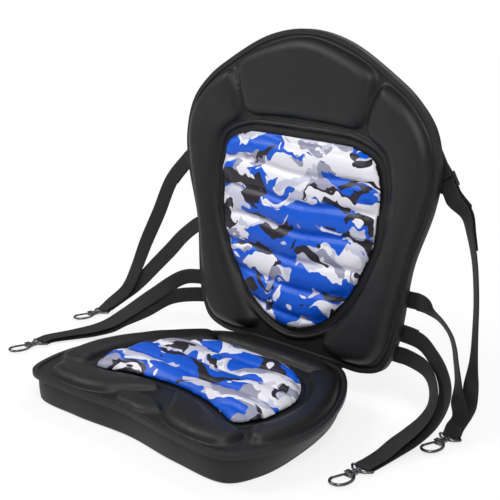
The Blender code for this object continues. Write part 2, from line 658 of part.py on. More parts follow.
side_x = np.array([1.0, 0.0, 0.0])
up_z = np.array([0.0, 0.0, 1.0])
for key, data in straps.items():
    s = data["sign"]
    lean = math.radians(data["lean"])
    across = np.array([float(s), 0.0, 0.0])
    out = across * math.cos(lean) - back_up * math.sin(lean)
    wide = back_up * math.cos(lean) + across * math.sin(lean)
    back = -back_front
    bar = back_place([(s * data["bar"], data["v"])], -bar_depth)[0]
    copy_part("buckle_" + key, buckle, (wide * s, out, back), bar, BLACK, 0.5, 0.0)

    # Sewn loop that holds the buckle
    inner = bar - out * 0.045 + back * (tab_depth - bar_depth)
    outer = inner + back * sewn_gap
    tab = [inner, inner + out * 0.020] + turn(bar, -back, out, anchor_turn)
    tab += [outer + out * 0.020, outer]
    add("anchor_" + key, *ribbon(tab, [wide] * len(tab), WEB_WIDTH, WEB_THICK), WEB_BLACK, 0.9)

    # Strap: free tail, round the locking bar, first run, round the eye, second run, sewn end
    lock = bar + out * BUCKLE_PITCH
    centre = np.array([data["eye"][0], data["eye"][1], HOOK_Z])
    leave = np.array([0.0, 1.0, 0.0])
    face = 1.0 if data["first_on_top"] else -1.0
    run = [np.array(q) for q in data["first"]]
    start = lock - back * WEB_TURN + out * 0.0170
    run = [start + out * 0.0080] + run
    first = [start] + run + [centre + up_z * face * WEB_TURN + leave * 0.024,
                             centre + up_z * face * WEB_TURN + leave * 0.008]
    first = smooth_curve(first, 19)
    first[:, 2] = np.maximum(first[:, 2], HOOK_Z - WEB_TURN + 0.0002)
    first_side = twist(len(first), wide, side_x * s, 1.0, 14.0, data["edge_on"][0])
    tail = []
    tail_side = []
    for share in np.linspace(data["tail"], 1.7, 4):
        here = along(first, share)
        t = unit(along(first, share + 0.5) - along(first, share - 0.5))
        side = along(first_side, share)
        nor = unit(np.cross(t, side))
        if np.dot(nor, back) < 0:
            nor = -nor
        tail.append(here + nor * (2.0 * WEB_TURN - 0.0008 * share))
        tail_side.append(side)
    for reach in (0.0190, 0.0120):
        tail.append(lock + back * WEB_TURN + out * reach)
        tail_side.append(wide)
    lock_turn = turn(lock, back, -out, WEB_TURN)
    lock_turn.append(start - out * 0.0050)
    eye_turn = turn(centre, up_z * face, -leave, WEB_TURN)
    rim_u = edge_half(data["sewn_v"]) + 0.0120
    sewn = back_place([(s * (rim_u - 0.078), data["sewn_v"])], -tab_depth)[0]
    sewn_out = sewn + across * 0.078
    second = [centre - up_z * face * WEB_TURN + leave * 0.008,
              centre - up_z * face * WEB_TURN + leave * 0.022]
    second += [np.array(q) for q in data["second"]]
    second += [sewn_out, sewn + across * 0.066, sewn + across * 0.030, sewn]
    second = smooth_curve(second, 20)
    second[:, 2] = np.maximum(second[:, 2], HOOK_Z - WEB_TURN)
    second_side = twist(len(second), side_x * s, back_up, 4.0, 15.0, data["edge_on"][1])
    eye_side = side_x * s
    route = tail + lock_turn + list(first) + eye_turn + list(second)
    sides = tail_side + [wide] * len(lock_turn) + first_side
    sides += [eye_side] * len(eye_turn) + second_side
    for i in range(1, len(route) - 1):
        t = unit(route[i + 1] - route[i - 1])
        edge = unit(sides[i] - t * np.dot(sides[i], t))
        lowest = HOOK_Z - WEB_TURN + abs(edge[2]) * WEB_WIDTH / 2.0
        route[i] = np.array([route[i][0], route[i][1], max(route[i][2], lowest)])
    add("strap_" + key, *ribbon(route, sides, WEB_WIDTH, WEB_THICK), WEB_BLACK, 0.9)

    # Swivel eye, hook and gate, lying flat
    flip = (side_x, np.array([0.0, 1.0, 0.0]), up_z)
    copy_part("eye_" + key, eye, flip, centre, STEEL, 0.3, 1.0)
    copy_part("hook_" + key, hook, flip, centre, STEEL, 0.3, 1.0)
    copy_part("gate_" + key, gate, flip, centre, STEEL, 0.3, 1.0)
for helper in (eye, hook, gate, buckle):
    bpy.data.objects.remove(helper, do_unlink=True)

# Hinge strip under the seat rim and up the rear of the backrest
flap_low = FLANGE_Z - FIT - BIND_THICK - FIT - FLAP_THICK / 2.0
flap_back = -SHELL_THICK - 2 * FIT - BIND_THICK - FIT - FLAP_THICK / 2.0
flap_route = [np.array([0.0, SR - 0.0080, flap_low]), np.array([0.0, SR - 0.0020, flap_low]),
              np.array([0.0, SR + 0.0060, flap_low + 0.0003])]
for rise in (0.0005, 0.0060, 0.0160):
    flap_route.append(back_place([(0.0, rise)], flap_back)[0])
flap_route = smooth_curve(flap_route, 12)
flap_sides = [side_x] * len(flap_route)
add("hinge_flap", *ribbon(flap_route, flap_sides, FLAP_WIDTH, FLAP_THICK), BLACK, 0.9)

for obj in bpy.context.scene.objects:
    obj.select_set(False)
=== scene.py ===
import math
import bpy
import bmesh
import numpy as np
from mathutils import Matrix, Vector


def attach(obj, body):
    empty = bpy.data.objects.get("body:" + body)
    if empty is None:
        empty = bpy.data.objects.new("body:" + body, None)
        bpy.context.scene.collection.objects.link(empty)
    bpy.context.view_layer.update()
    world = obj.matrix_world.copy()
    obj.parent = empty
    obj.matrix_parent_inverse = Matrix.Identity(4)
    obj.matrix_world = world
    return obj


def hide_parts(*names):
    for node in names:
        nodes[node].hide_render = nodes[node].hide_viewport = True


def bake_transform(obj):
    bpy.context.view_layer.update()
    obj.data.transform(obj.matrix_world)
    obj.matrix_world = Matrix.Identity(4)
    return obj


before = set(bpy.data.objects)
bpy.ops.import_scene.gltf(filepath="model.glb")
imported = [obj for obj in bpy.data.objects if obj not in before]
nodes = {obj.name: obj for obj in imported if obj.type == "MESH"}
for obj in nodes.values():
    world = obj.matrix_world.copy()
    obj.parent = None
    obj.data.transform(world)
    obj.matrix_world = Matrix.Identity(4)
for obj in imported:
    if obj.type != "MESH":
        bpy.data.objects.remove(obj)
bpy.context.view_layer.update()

# Sizes that the frame was made with
SEAT_FRONT = -0.187
SEAT_REAR = 0.158
SEAT_HALF_WIDTH = 0.233
GRIP_THICK = 0.0020
TRAY_WALL = 0.0030
FLANGE_Z = 0.0405
LIP_THICK = 0.0020
COVER_THICK = 0.0024
SEAT_PAD_HEIGHT = 0.0148
SEAT_NUB_HEIGHT = 0.0100
SEAT_BAR_HEIGHT = 0.0115
FOOT_GAP = 0.0004
WALL_INSET = 0.0095
CUSHION_HEIGHT = 0.0140
CHANNEL_PITCH = 0.0440
BACK_HEIGHT = 0.499
BACK_HALF_WIDTH = 0.250
RECLINE = math.radians(3.15)
BACK_Y = 0.1672
BACK_Z = 0.0400
SHELL_THICK = 0.0040
BACK_PAD_HEIGHT = 0.0190
TOP_PAD_HEIGHT = 0.0170
REAR_DOME = 0.0120
BIND_THICK = 0.0012
BIND_WIDTH = 0.0085
FIT = 0.0003
WEB_WIDTH = 0.0250
WEB_THICK = 0.0016
BAR_RADIUS = 0.0017
WEB_TURN = BAR_RADIUS + 0.0005 + WEB_THICK / 2.0
HOOK_Z = 0.0050
HOOK_BAR = 0.0020
EYE_HALF = 0.0165
EYE_DEPTH = 0.0120
BOSS_RADIUS = 0.0043
BOSS_LENGTH = 0.0060
SHANK_RADIUS = 0.0020
HEAD_RADIUS = 0.0033
HOOK_LENGTH = 0.0660
GATE_BAR = 0.0016
GATE_EYE = 0.0030
SWIVEL_FIT = 0.00035
BUCKLE_BAR = 0.0012
BUCKLE_PITCH = 0.0090
FLAP_THICK = 0.0010
FLAP_WIDTH = 0.2100

SX = SEAT_HALF_WIDTH
SF = SEAT_FRONT
SR = SEAT_REAR
BH = BACK_HEIGHT
BX = BACK_HALF_WIDTH


# Curves and outlines

def unit(v):
    return v / np.linalg.norm(v)


def resample(points, count, closed):
    s = np.r_[0.0, np.cumsum(np.linalg.norm(np.diff(points, axis=0), axis=1))]
    want = np.linspace(0.0, s[-1], count, endpoint=not closed)
    return np.stack([np.interp(want, s, points[:, k]) for k in range(points.shape[1])], 1)


def smooth_curve(points, count, closed=False):
    p = np.array(points, float)
    if closed:
        ext = np.vstack([p[-2:], p, p[:3]])
    else:
        ext = np.vstack([2 * p[0] - p[1], p, 2 * p[-1] - p[-2]])
    first = 2 if closed else 1
    out = []
    for i in range(len(p) if closed else len(p) - 1):
        a, b, c, d = ext[i + first - 1:i + first + 3]
        t1 = max(np.linalg.norm(b - a), 1e-9) ** 0.5
        t2 = t1 + max(np.linalg.norm(c - b), 1e-9) ** 0.5
        t3 = t2 + max(np.linalg.norm(d - c), 1e-9) ** 0.5
        for t in np.linspace(t1, t2, 24, endpoint=False):
            a1 = (t1 - t) / t1 * a + t / t1 * b
            a2 = (t2 - t) / (t2 - t1) * b + (t - t1) / (t2 - t1) * c
            a3 = (t3 - t) / (t3 - t2) * c + (t - t2) / (t3 - t2) * d
            b1 = (t2 - t) / t2 * a1 + t / t2 * a2
            b2 = (t3 - t) / (t3 - t1) * a2 + (t - t1) / (t3 - t1) * a3
            out.append((t2 - t) / (t2 - t1) * b1 + (t - t1) / (t2 - t1) * b2)
    out.append(p[0] if closed else p[-1])
    return resample(np.array(out), count, closed)


def mirror(points):
    return [(-x, y) for x, y in points]


def full_outline(half, count):
    return smooth_curve(half + mirror(reversed(half[1:-1])), count, closed=True)


def inset(ring, distance):
    tan = np.roll(ring, -1, axis=0) - np.roll(ring, 1, axis=0)
    tan /= np.linalg.norm(tan, axis=1)[:, None]
    return ring + np.stack([-tan[:, 1], tan[:, 0]], 1) * distance


def two_sided(half):
    return mirror(reversed(half[1:])) + half


EDGE = 420
seat_outline = full_outline([
    (0.0, SF + 0.009), (0.108, SF), (SX - 0.032, SF + 0.006), (SX - 0.004, SF + 0.058),
    (SX, SF + 0.147), (SX - 0.034, SR - 0.106), (SX - 0.085, SR - 0.033),
    (SX - 0.123, SR - 0.004), (0.050, SR), (0.0, SR)], EDGE)
tray_outline = full_outline([
    (0.0, SF + 0.018), (0.105, SF + 0.009), (SX - 0.038, SF + 0.0145), (SX - 0.019, SF + 0.062),
    (SX - 0.026, SF + 0.146), (SX - 0.052, SR - 0.107), (SX - 0.092, SR - 0.040),
    (SX - 0.128, SR - 0.016), (0.050, SR - 0.012), (0.0, SR - 0.012)], EDGE)
back_outline = full_outline([
    (0.0, 0.002), (0.100, 0.002), (BX - 0.105, 0.003), (BX - 0.070, 0.016), (BX - 0.052, 0.048),
    (BX - 0.043, 0.090), (BX - 0.033, 0.177), (BX - 0.006, BH - 0.234), (BX, BH - 0.180),
    (BX - 0.013, BH - 0.125), (BX - 0.047, BH - 0.085), (BX - 0.089, BH - 0.056),
    (0.076, BH - 0.013), (0.0, BH)], EDGE)
back_up = np.array([0.0, math.sin(RECLINE), math.cos(RECLINE)])
back_front = np.array([0.0, -math.cos(RECLINE), math.sin(RECLINE)])
side_x = np.array([1.0, 0.0, 0.0])
up_z = np.array([0.0, 0.0, 1.0])


def seat_place(points, height):
    pts = np.asarray(points, float)
    return np.column_stack([pts[:, 0], pts[:, 1], np.broadcast_to(height, (len(pts),))])


def back_place(points, height):
    pts = np.asarray(points, float)
    high = np.broadcast_to(height, (len(pts),))[:, None]
    across = np.column_stack([pts[:, 0], np.zeros(len(pts)), np.zeros(len(pts))])
    return np.array([0.0, BACK_Y, BACK_Z]) + across + pts[:, 1:2] * back_up + high * back_front


# Materials, all made of nodes

class Look:
    def __init__(self, name):
        self.mat = bpy.data.materials.new(name)
        self.mat.use_nodes = True
        self.tree = self.mat.node_tree
        self.shader = self.tree.nodes["Principled BSDF"]

    def put(self, kind, inputs=None, **settings):
        node = self.tree.nodes.new(kind)
        for key, value in settings.items():
            setattr(node, key, value)
        for key, value in (inputs or {}).items():
            if isinstance(value, bpy.types.NodeSocket):
                self.tree.links.new(value, node.inputs[key])
            else:
                node.inputs[key].default_value = value
        return node

    def maths(self, kind, a, b=0.0):
        return self.put("ShaderNodeMath", {0: a, 1: b}, operation=kind).outputs[0]

    def noise(self, vector, scale, detail=2.0, rough=0.5, twist=0.0):
        return self.put("ShaderNodeTexNoise", {
            "Vector": vector, "Scale": scale, "Detail": detail, "Roughness": rough,
            "Distortion": twist}).outputs["Fac"]

    def spread(self, value, low, high, start, end):
        return self.put("ShaderNodeMapRange", {
            "Value": value, "From Min": low, "From Max": high, "To Min": start,
            "To Max": end}).outputs[0]

    def mix(self, factor, a, b):
        return self.put("ShaderNodeMix", {0: factor, 6: a, 7: b}, data_type="RGBA").outputs[2]

    def place(self):
        return self.put("ShaderNodeTexCoord").outputs["Object"]

    def mapped(self, vector, **changes):
        return self.put("ShaderNodeMapping", {"Vector": vector, **changes}).outputs[0]

    def vector(self, kind, a, b):
        slot = "Scale" if kind == "SCALE" else 1
        return self.put("ShaderNodeVectorMath", {0: a, slot: b}, operation=kind).outputs[0]

    def set(self, **values):
        for key, value in values.items():
            socket = self.shader.inputs[key.replace("_", " ")]
            if isinstance(value, bpy.types.NodeSocket):
                self.tree.links.new(value, socket)
            else:
                socket.default_value = value

    def bump(self, height, distance, strength=1.0, under=None):
        inputs = {"Height": height, "Distance": distance, "Strength": strength}
        if under is not None:
            inputs["Normal"] = under
        return self.put("ShaderNodeBump", inputs).outputs[0]


def threads(look, vector, pitch):
    # A plain weave: two crossed sets of threads, seen from any side of the piece
    axes = look.put("ShaderNodeSeparateXYZ", {0: vector})
    rate = 2.0 * math.pi / pitch
    wave = []
    for k in range(3):
        wave.append(look.maths("SINE", look.maths("MULTIPLY", axes.outputs[k], rate)))
    pair = look.maths("ADD", look.maths("MULTIPLY", wave[0], wave[1]),
                      look.maths("MULTIPLY", wave[0], wave[2]))
    return look.maths("ADD", pair, look.maths("MULTIPLY", wave[1], wave[2]))


def shell_fabric(name, tone, rough, pitch=0.0011):
    look = Look(name)
    at = look.place()
    cloud = look.noise(at, 14.0, 3.0)
    grain = look.noise(at, 900.0, 2.0)
    dust = look.spread(look.noise(at, 5.0, 4.0, 0.6), 0.55, 0.75, 0.0, 0.20)
    dark = [c * 0.80 for c in tone] + [1.0]
    pale = [c * 1.25 for c in tone] + [1.0]
    dusty = [c * 1.9 for c in tone] + [1.0]
    base = look.mix(cloud, dark, pale)
    base = look.mix(look.maths("MULTIPLY", dust, grain), base, dusty)
    low = look.bump(look.noise(at, 260.0, 3.0), 0.00012, 0.35)
    look.set(Base_Color=base, Normal=look.bump(threads(look, at, pitch), 0.00010, 0.35, low),
             Roughness=look.spread(grain, 0.2, 0.8, rough - 0.07, rough + 0.07),
             Specular_IOR_Level=0.34)
    return look.mat


def camouflage(name, upright, shift):
    # Layered long fields of colour with curled, pointed edges, in no maker's pattern
    look = Look(name)
    real = look.place()
    at = look.mapped(real, Location=shift)

    def pushed(place, scale, size):
        bend = look.put("ShaderNodeTexNoise", {"Vector": place, "Scale": scale, "Detail": 1.0})
        push = look.vector("SUBTRACT", bend.outputs["Color"], (0.5, 0.5, 0.5))
        return look.vector("ADD", place, look.vector("SCALE", push, size))

    curled = pushed(pushed(at, 12.0, 0.085), 38.0, 0.026)
    long = (1.0, 2.7, 2.7) if upright else (1.0, 2.5, 1.0)

    def field(offset, scale, level, ridge=0.16):
        moved = look.mapped(curled, Location=offset, Scale=long)
        value = look.noise(moved, scale, 1.0, 0.4, 0.5)
        fine = look.noise(moved, scale * 2.6, 0.0)
        tips = look.maths("ABSOLUTE", look.maths("SUBTRACT", fine, 0.5))
        value = look.maths("ADD", value, look.maths("MULTIPLY", tips, ridge))
        return look.spread(value, level - 0.003, level + 0.003, 0.0, 1.0)

    white = (0.78, 0.77, 0.83, 1.0)
    lilac = (0.30, 0.30, 0.40, 1.0)
    pale = (0.54, 0.54, 0.66, 1.0)
    blue = (0.0, 0.090, 0.60, 1.0)
    dark = (0.016, 0.012, 0.020, 1.0)
    base = look.mix(field((1.7, 0.3, 0.9), 10.0, 0.523), white, pale)
    base = look.mix(field((6.1, 2.2, 4.3), 11.0, 0.577), base, lilac)
    base = look.mix(field((3.3, 5.1, 2.4), 9.5, 0.530), base, blue)
    base = look.mix(field((9.4, 1.6, 7.7), 12.0, 0.628), base, dark)
    base = look.mix(field((2.9, 8.8, 5.5), 13.0, 0.635), base, white)
    grain = look.noise(real, 700.0, 2.0)
    low = look.bump(look.noise(real, 90.0, 2.0), 0.0004, 0.35)
    look.set(Base_Color=base, Roughness=look.spread(grain, 0.2, 0.8, 0.30, 0.42),
             Specular_IOR_Level=0.32,
             Normal=look.bump(threads(look, real, 0.0008), 0.00006, 0.25, low))
    return look.mat


def webbing(name):
    look = Look(name)
    at = look.put("ShaderNodeUVMap", uv_map="weave").outputs[0]
    axes = look.put("ShaderNodeSeparateXYZ", {0: at})
    along = look.maths("MULTIPLY", axes.outputs[0], 2.0 * math.pi / 0.0026)
    across = look.maths("MULTIPLY", axes.outputs[1], 2.0 * math.pi / 0.0042)
    step = look.maths("MULTIPLY", look.maths("SIGN", look.maths("SINE", across)), 0.5 * math.pi)
    rib = look.maths("SINE", look.maths("ADD", along, step))
    ridge = look.maths("ABSOLUTE", look.maths("SINE", across))
    height = look.maths("MULTIPLY", look.maths("ADD", rib, 1.0), look.maths("ADD", ridge, 0.4))
    fuzz = look.noise(look.place(), 1500.0, 2.0)
    base = look.mix(look.spread(height, 0.0, 2.8, 0.0, 1.0), (0.006, 0.006, 0.0065, 1.0),
                    (0.021, 0.021, 0.022, 1.0))
    look.set(Base_Color=base, Normal=look.bump(height, 0.00016, 0.6),
             Roughness=look.spread(fuzz, 0.2, 0.8, 0.55, 0.75), Specular_IOR_Level=0.35)
    return look.mat


def nickel(name):
    look = Look(name)
    at = look.place()
    fine = look.noise(look.mapped(at, Scale=(900.0, 120.0, 900.0)), 1.0, 2.0)
    stain = look.noise(at, 90.0, 3.0)
    base = look.mix(look.spread(stain, 0.3, 0.75, 0.0, 1.0), (0.17, 0.17, 0.18, 1.0),
                    (0.085, 0.085, 0.09, 1.0))
    look.set(Base_Color=base, Metallic=1.0, Roughness=look.spread(fine, 0.3, 0.7, 0.18, 0.32),
             Normal=look.bump(stain, 0.00015, 0.3))
    return look.mat


def speckled(name, dark, pale, cloud, grain, rough, depth, strength):
    # Cloudy colour with a fine grain; cloud and grain are each a scale and a detail
    look = Look(name)
    at = look.place()
    pits = look.noise(at, *grain)
    base = look.mix(look.noise(at, *cloud), dark, pale)
    look.set(Base_Color=base, Roughness=look.spread(pits, *rough),
             Normal=look.bump(pits, depth, strength))
    return look.mat


def foam(name):
    look = Look(name)
    cells = look.put("ShaderNodeTexVoronoi", {"Vector": look.place(), "Scale": 900.0})
    depth = cells.outputs["Distance"]
    base = look.mix(look.spread(depth, 0.0, 0.6, 0.0, 1.0), (0.20, 0.20, 0.21, 1.0),
                    (0.32, 0.32, 0.33, 1.0))
    look.set(Base_Color=base, Roughness=0.9, Normal=look.bump(depth, 0.0004, 0.6))
    return look.mat


EVA = shell_fabric("eva_fabric", (0.0085, 0.0085, 0.0090), 0.42)
TRAY_LOOK = shell_fabric("tray_fabric", (0.0095, 0.0095, 0.0100), 0.52, 0.0014)
TAPE = shell_fabric("binding_tape", (0.0115, 0.0115, 0.0120), 0.52, 0.0009)
CAMO_SEAT = camouflage("camo_seat", False, (0.31, 0.12, 0.0))
CAMO_BACK = camouflage("camo_back", True, (0.70, 0.0, 0.45))
WEB = webbing("webbing")
METAL = nickel("dark_nickel")
PLASTIC = speckled("buckle_plastic", (0.014, 0.014, 0.015, 1.0), (0.026, 0.026, 0.028, 1.0),
                   (60.0, 2.0), (1400.0, 2.0), (0.3, 0.7, 0.30, 0.42), 0.00005, 0.4)
FOAM = foam("foam")
GRIP = speckled("grip_fabric", (0.016, 0.016, 0.017, 1.0), (0.040, 0.040, 0.042, 1.0),
                (420.0, 3.0), (420.0, 3.0), (0.2, 0.8, 0.75, 0.92), 0.0002, 0.5)
THREAD = speckled("thread", (0.030, 0.030, 0.032, 1.0), (0.075, 0.075, 0.080, 1.0),
                  (2600.0, 1.0), (2600.0, 1.0), (0.0, 1.0, 0.6, 0.6), 0.0001, 0.5)


# Mesh helpers

def dress(mesh, mat, smooth=True):
    mesh.polygons.foreach_set("use_smooth", [smooth] * len(mesh.polygons))
    mesh.materials.clear()
    mesh.materials.append(mat)


def make(name, verts, faces, mat, body=None, slot=None, smooth=True, uv=None):
    mesh = bpy.data.meshes.new(name)
    mesh.from_pydata([tuple(v) for v in verts], [], [tuple(f) for f in faces])
    mesh.update()
    if uv is not None:
        layer = mesh.uv_layers.new(name="weave")
        index = np.zeros(len(mesh.loops), int)
        mesh.loops.foreach_get("vertex_index", index)
        layer.data.foreach_set("uv", np.asarray(uv, float)[index].ravel())
    bm = bmesh.new()
    bm.from_mesh(mesh)
    bmesh.ops.recalc_face_normals(bm, faces=bm.faces)
    bm.to_mesh(mesh)
    bm.free()
    dress(mesh, mat, smooth)
    obj = bpy.data.objects.new(name, mesh)
    bpy.context.scene.collection.objects.link(obj)
    if body:
        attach(obj, body)
    return obj


def ring_faces(count, levels, start=0, closed=False):
    faces = []
    for k in range(levels if closed else levels - 1):
        a = start + k * count
        b = start + ((k + 1) % levels) * count
        for i in range(count):
            j = (i + 1) % count
            faces.append((a + i, a + j, b + j, b + i))
    return faces


def ring_solid(rings, closed=False):
    n = len(rings[0])
    verts = [tuple(v) for ring in rings for v in ring]
    faces = ring_faces(n, len(rings), closed=closed)
    if not closed:
        faces.append(tuple(reversed(range(n))))
        faces.append(tuple(range((len(rings) - 1) * n, len(rings) * n)))
    return verts, faces


def joined(parts):
    verts = []
    faces = []
    for v, f in parts:
        base = len(verts)
        verts.extend(v)
        faces.extend([tuple(base + i for i in face) for face in f])
    return verts, faces


def wander(points, size, seed):
    # Slow, repeatable unevenness from a few crossed waves, about -1 to 1
    rng = np.random.default_rng(seed)
    total = np.zeros(len(points))
    for _ in range(7):
        direction = rng.normal(size=points.shape[1])
        direction /= np.linalg.norm(direction)
        phase = rng.uniform(0.0, 2.0 * math.pi)
        rate = 2.0 * math.pi / (size * rng.uniform(0.7, 1.6))
        total += np.sin(points @ direction * rate + phase)
    return total / 4.0


def inside(points, polygon):
    # Distance to the polygon's edge, positive inside it
    low = polygon.min(0) - 0.02
    high = polygon.max(0) + 0.02
    near = np.all((points > low) & (points < high), axis=1)
    out = np.full(len(points), -0.02)
    pts = points[near]
    best = np.full(len(pts), 1.0)
    odd = np.zeros(len(pts), bool)
    for a, b in zip(polygon, np.roll(polygon, -1, axis=0)):
        ab = b - a
        ap = pts - a
        t = np.clip(ap @ ab / max(ab @ ab, 1e-12), 0.0, 1.0)
        best = np.minimum(best, np.linalg.norm(ap - t[:, None] * ab, axis=1))
        if a[1] != b[1]:
            cross = (a[1] > pts[:, 1]) != (b[1] > pts[:, 1])
            odd ^= cross & (pts[:, 0] < ab[0] * (pts[:, 1] - a[1]) / (b[1] - a[1]) + a[0])
    out[near] = np.where(odd, best, -best)
    return out


def ease(x):
    x = np.clip(x, 0.0, 1.0)
    return x * x * (3.0 - 2.0 * x)


def swell(depth, height, shoulder, foot=0.0016, crown=0.10):
    x = np.clip((depth + foot) / (shoulder + foot), 0.0, 1.0)
    round_edge = np.sqrt(1.0 - (1.0 - x) ** 2) * x / (x + 0.04) * 1.04
    return height * ((1.0 - crown) * round_edge + crown * ease(depth / 0.045))


def pad_shape(low, up, count=140, corner=0.0085):
    # The closed outline of a pad from its two long edges, with small round corners
    line = [np.array(q) for q in list(low) + list(reversed(list(up)))]
    ends = (0, len(low) - 1, len(low), len(line) - 1)
    points = []
    for i, q in enumerate(line):
        if i not in ends:
            points.append(q)
            continue
        for other in (line[i - 1], line[(i + 1) % len(line)]):
            way = other - q
            points.append(q + unit(way) * min(corner, 0.35 * np.linalg.norm(way)))
    return smooth_curve(points, count, closed=True)


def distance_to(line, points):
    best = np.full(len(points), 1.0)
    for a, b in zip(line[:-1], line[1:]):
        ab = b - a
        t = np.clip((points - a) @ ab / max(ab @ ab, 1e-12), 0.0, 1.0)
        best = np.minimum(best, np.linalg.norm(points - a - t[:, None] * ab, axis=1))
    return best


def disc_points(outline, centre, levels, power):
    share = (np.arange(1, levels + 1) / levels) ** power
    return np.vstack([[centre]] + [centre + (outline - centre) * s for s in share])


def field_piece(name, outline, centre, levels, height, place, low, mat, body, slot):
    # A closed piece whose top is a height field inside an outline and whose underside is flat
    n = len(outline)
    flat = disc_points(outline, centre, levels, 0.85)
    high = height(flat)
    # A light mean along and across the rings keeps the grooves between the pads even
    grid = high[1:].reshape(levels, n)
    grid = 0.6 * grid + 0.2 * (np.roll(grid, 1, axis=1) + np.roll(grid, -1, axis=1))
    grid[1:-3] = 0.6 * grid[1:-3] + 0.2 * (grid[:-4] + grid[2:-2])
    top = place(flat, np.r_[high[0], grid.ravel()])
    faces = [(0, 1 + i, 1 + (i + 1) % n) for i in range(n)]
    faces += ring_faces(n, levels, 1)
    edge = 1 + (levels - 1) * n
    base = len(top)
    for i in range(n):
        j = (i + 1) % n
        faces.append((edge + i, edge + j, base + j, base + i))
    faces.append(tuple(reversed(range(base, base + n))))
    return make(name, list(top) + list(place(outline, low)), faces, mat, body, slot)


# The moulded top of the seat

lip_top = FLANGE_Z + LIP_THICK
cover_low = lip_top + FIT
cover_top = cover_low + COVER_THICK
front_low = [(0.040, SF + 0.059), (0.060, SF + 0.031), (0.095, SF + 0.016), (0.150, SF + 0.014),
             (0.180, SF + 0.023)]
front_up = [(0.012, SF + 0.097), (0.070, SF + 0.092), (0.110, SF + 0.078), (0.150, SF + 0.071),
            (0.184, SF + 0.061)]
side_out = [(SX - 0.031, SF + 0.053), (SX - 0.017, SF + 0.085), (SX - 0.012, SF + 0.147),
            (SX - 0.036, SR - 0.125), (SX - 0.074, SR - 0.066), (SX - 0.104, SR - 0.034)]
side_in = [(SX - 0.064, SF + 0.084), (SX - 0.056, SF + 0.108), (SX - 0.0545, SF + 0.140),
           (SX - 0.066, SR - 0.145), (SX - 0.106, SR - 0.089), (SX - 0.138, SR - 0.060)]
bar_low = [(-0.108, SR - 0.050), (-0.055, SR - 0.048), (0.0, SR - 0.047), (0.055, SR - 0.048),
           (0.108, SR - 0.050)]
bar_up = [(-0.110, SR - 0.018), (-0.055, SR - 0.014), (0.0, SR - 0.013), (0.055, SR - 0.014),
          (0.110, SR - 0.018)]
nub_low = [(-0.046, SF + 0.036), (-0.028, SF + 0.022), (0.0, SF + 0.019), (0.028, SF + 0.022),
           (0.046, SF + 0.036)]
nub_up = [(-0.044, SF + 0.042), (-0.024, SF + 0.056), (0.0, SF + 0.060), (0.024, SF + 0.056),
          (0.044, SF + 0.042)]
seat_pads = [
    (front_low, front_up, SEAT_PAD_HEIGHT, 0.014, 0.24),
    (mirror(front_low), mirror(front_up), SEAT_PAD_HEIGHT, 0.014, 0.24),
    (side_out, side_in, SEAT_PAD_HEIGHT, 0.014, 0.20),
    (mirror(side_out), mirror(side_in), SEAT_PAD_HEIGHT, 0.014, 0.20),
    (bar_low, bar_up, SEAT_BAR_HEIGHT, 0.012, 0.0),
    (nub_low, nub_up, SEAT_NUB_HEIGHT, 0.012, 0.0)]
lip_edge = inset(seat_outline, BIND_THICK + FIT)
WELT_AWAY = 0.0080
WELT_HALF = 0.0042


def pads_height(points, pads, floor, edge, print_edge, welt):
    # Pads, each with its two long edges, height, shoulder and the share by which it falls
    # towards its inner edge, over a fabric floor that sags between them. A welt of the given
    # height frames the print.
    total = np.zeros(len(points))
    for low, up, high, shoulder, lean in pads:
        full = swell(inside(points, pad_shape(low, up)), high, shoulder)
        if lean:
            inner = distance_to(smooth_curve(up, 40), points)
            outer = distance_to(smooth_curve(low, 40), points)
            share = inner / np.maximum(inner + outer, 1e-6)
            full = full * (1.0 - lean * (1.0 - ease(share / 0.85)))
        total = np.maximum(total, full)
    away = -inside(points, print_edge)
    if welt:
        bead = welt * np.sqrt(np.maximum(0.0, 1.0 - ((away - WELT_AWAY) / WELT_HALF) ** 2))
        total = np.maximum(total, bead)
    uneven = 0.00030 * wander(points, 0.045, 3) * ease(total / 0.010)
    lift = 0.0006 * ease(inside(points, edge) / 0.012) * (1.0 - ease(total / 0.004))
    groove = 0.0014 * np.exp(-((away - 0.0015) / 0.0030) ** 2)
    return floor + total + uneven - lift - groove


cushion_low = two_sided([(0.0, SF + 0.107), (0.055, SF + 0.101), (SX - 0.124, SF + 0.087),
                         (SX - 0.083, SF + 0.080), (SX - 0.063, SF + 0.112)])
cushion_up = two_sided([(0.0, SR - 0.057), (SX - 0.169, SR - 0.064), (SX - 0.114, SR - 0.093),
                        (SX - 0.072, SR - 0.147), (SX - 0.061, SF + 0.132)])
panel_low = two_sided([(0.0, 0.034), (BX - 0.175, 0.061), (BX - 0.123, 0.123),
                       (BX - 0.092, 0.195), (BX - 0.086, BH - 0.244)])
panel_up = two_sided([(0.0, BH - 0.154), (0.055, BH - 0.154), (BX - 0.145, BH - 0.157),
                      (BX - 0.099, BH - 0.177), (BX - 0.084, BH - 0.224)])
seat_print = pad_shape(cushion_low, cushion_up, 260)
back_print = pad_shape(panel_low, panel_up, 260)
seat_cover = field_piece(
    "seat_cover_skin", lip_edge, np.array([0.0, -0.03]), 110,
    lambda p: pads_height(p, seat_pads, cover_top, lip_edge, seat_print, 0.0), seat_place,
    cover_low, EVA, "seat", "eva_fabric")
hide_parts("seat_cover")


# The moulded front of the backrest

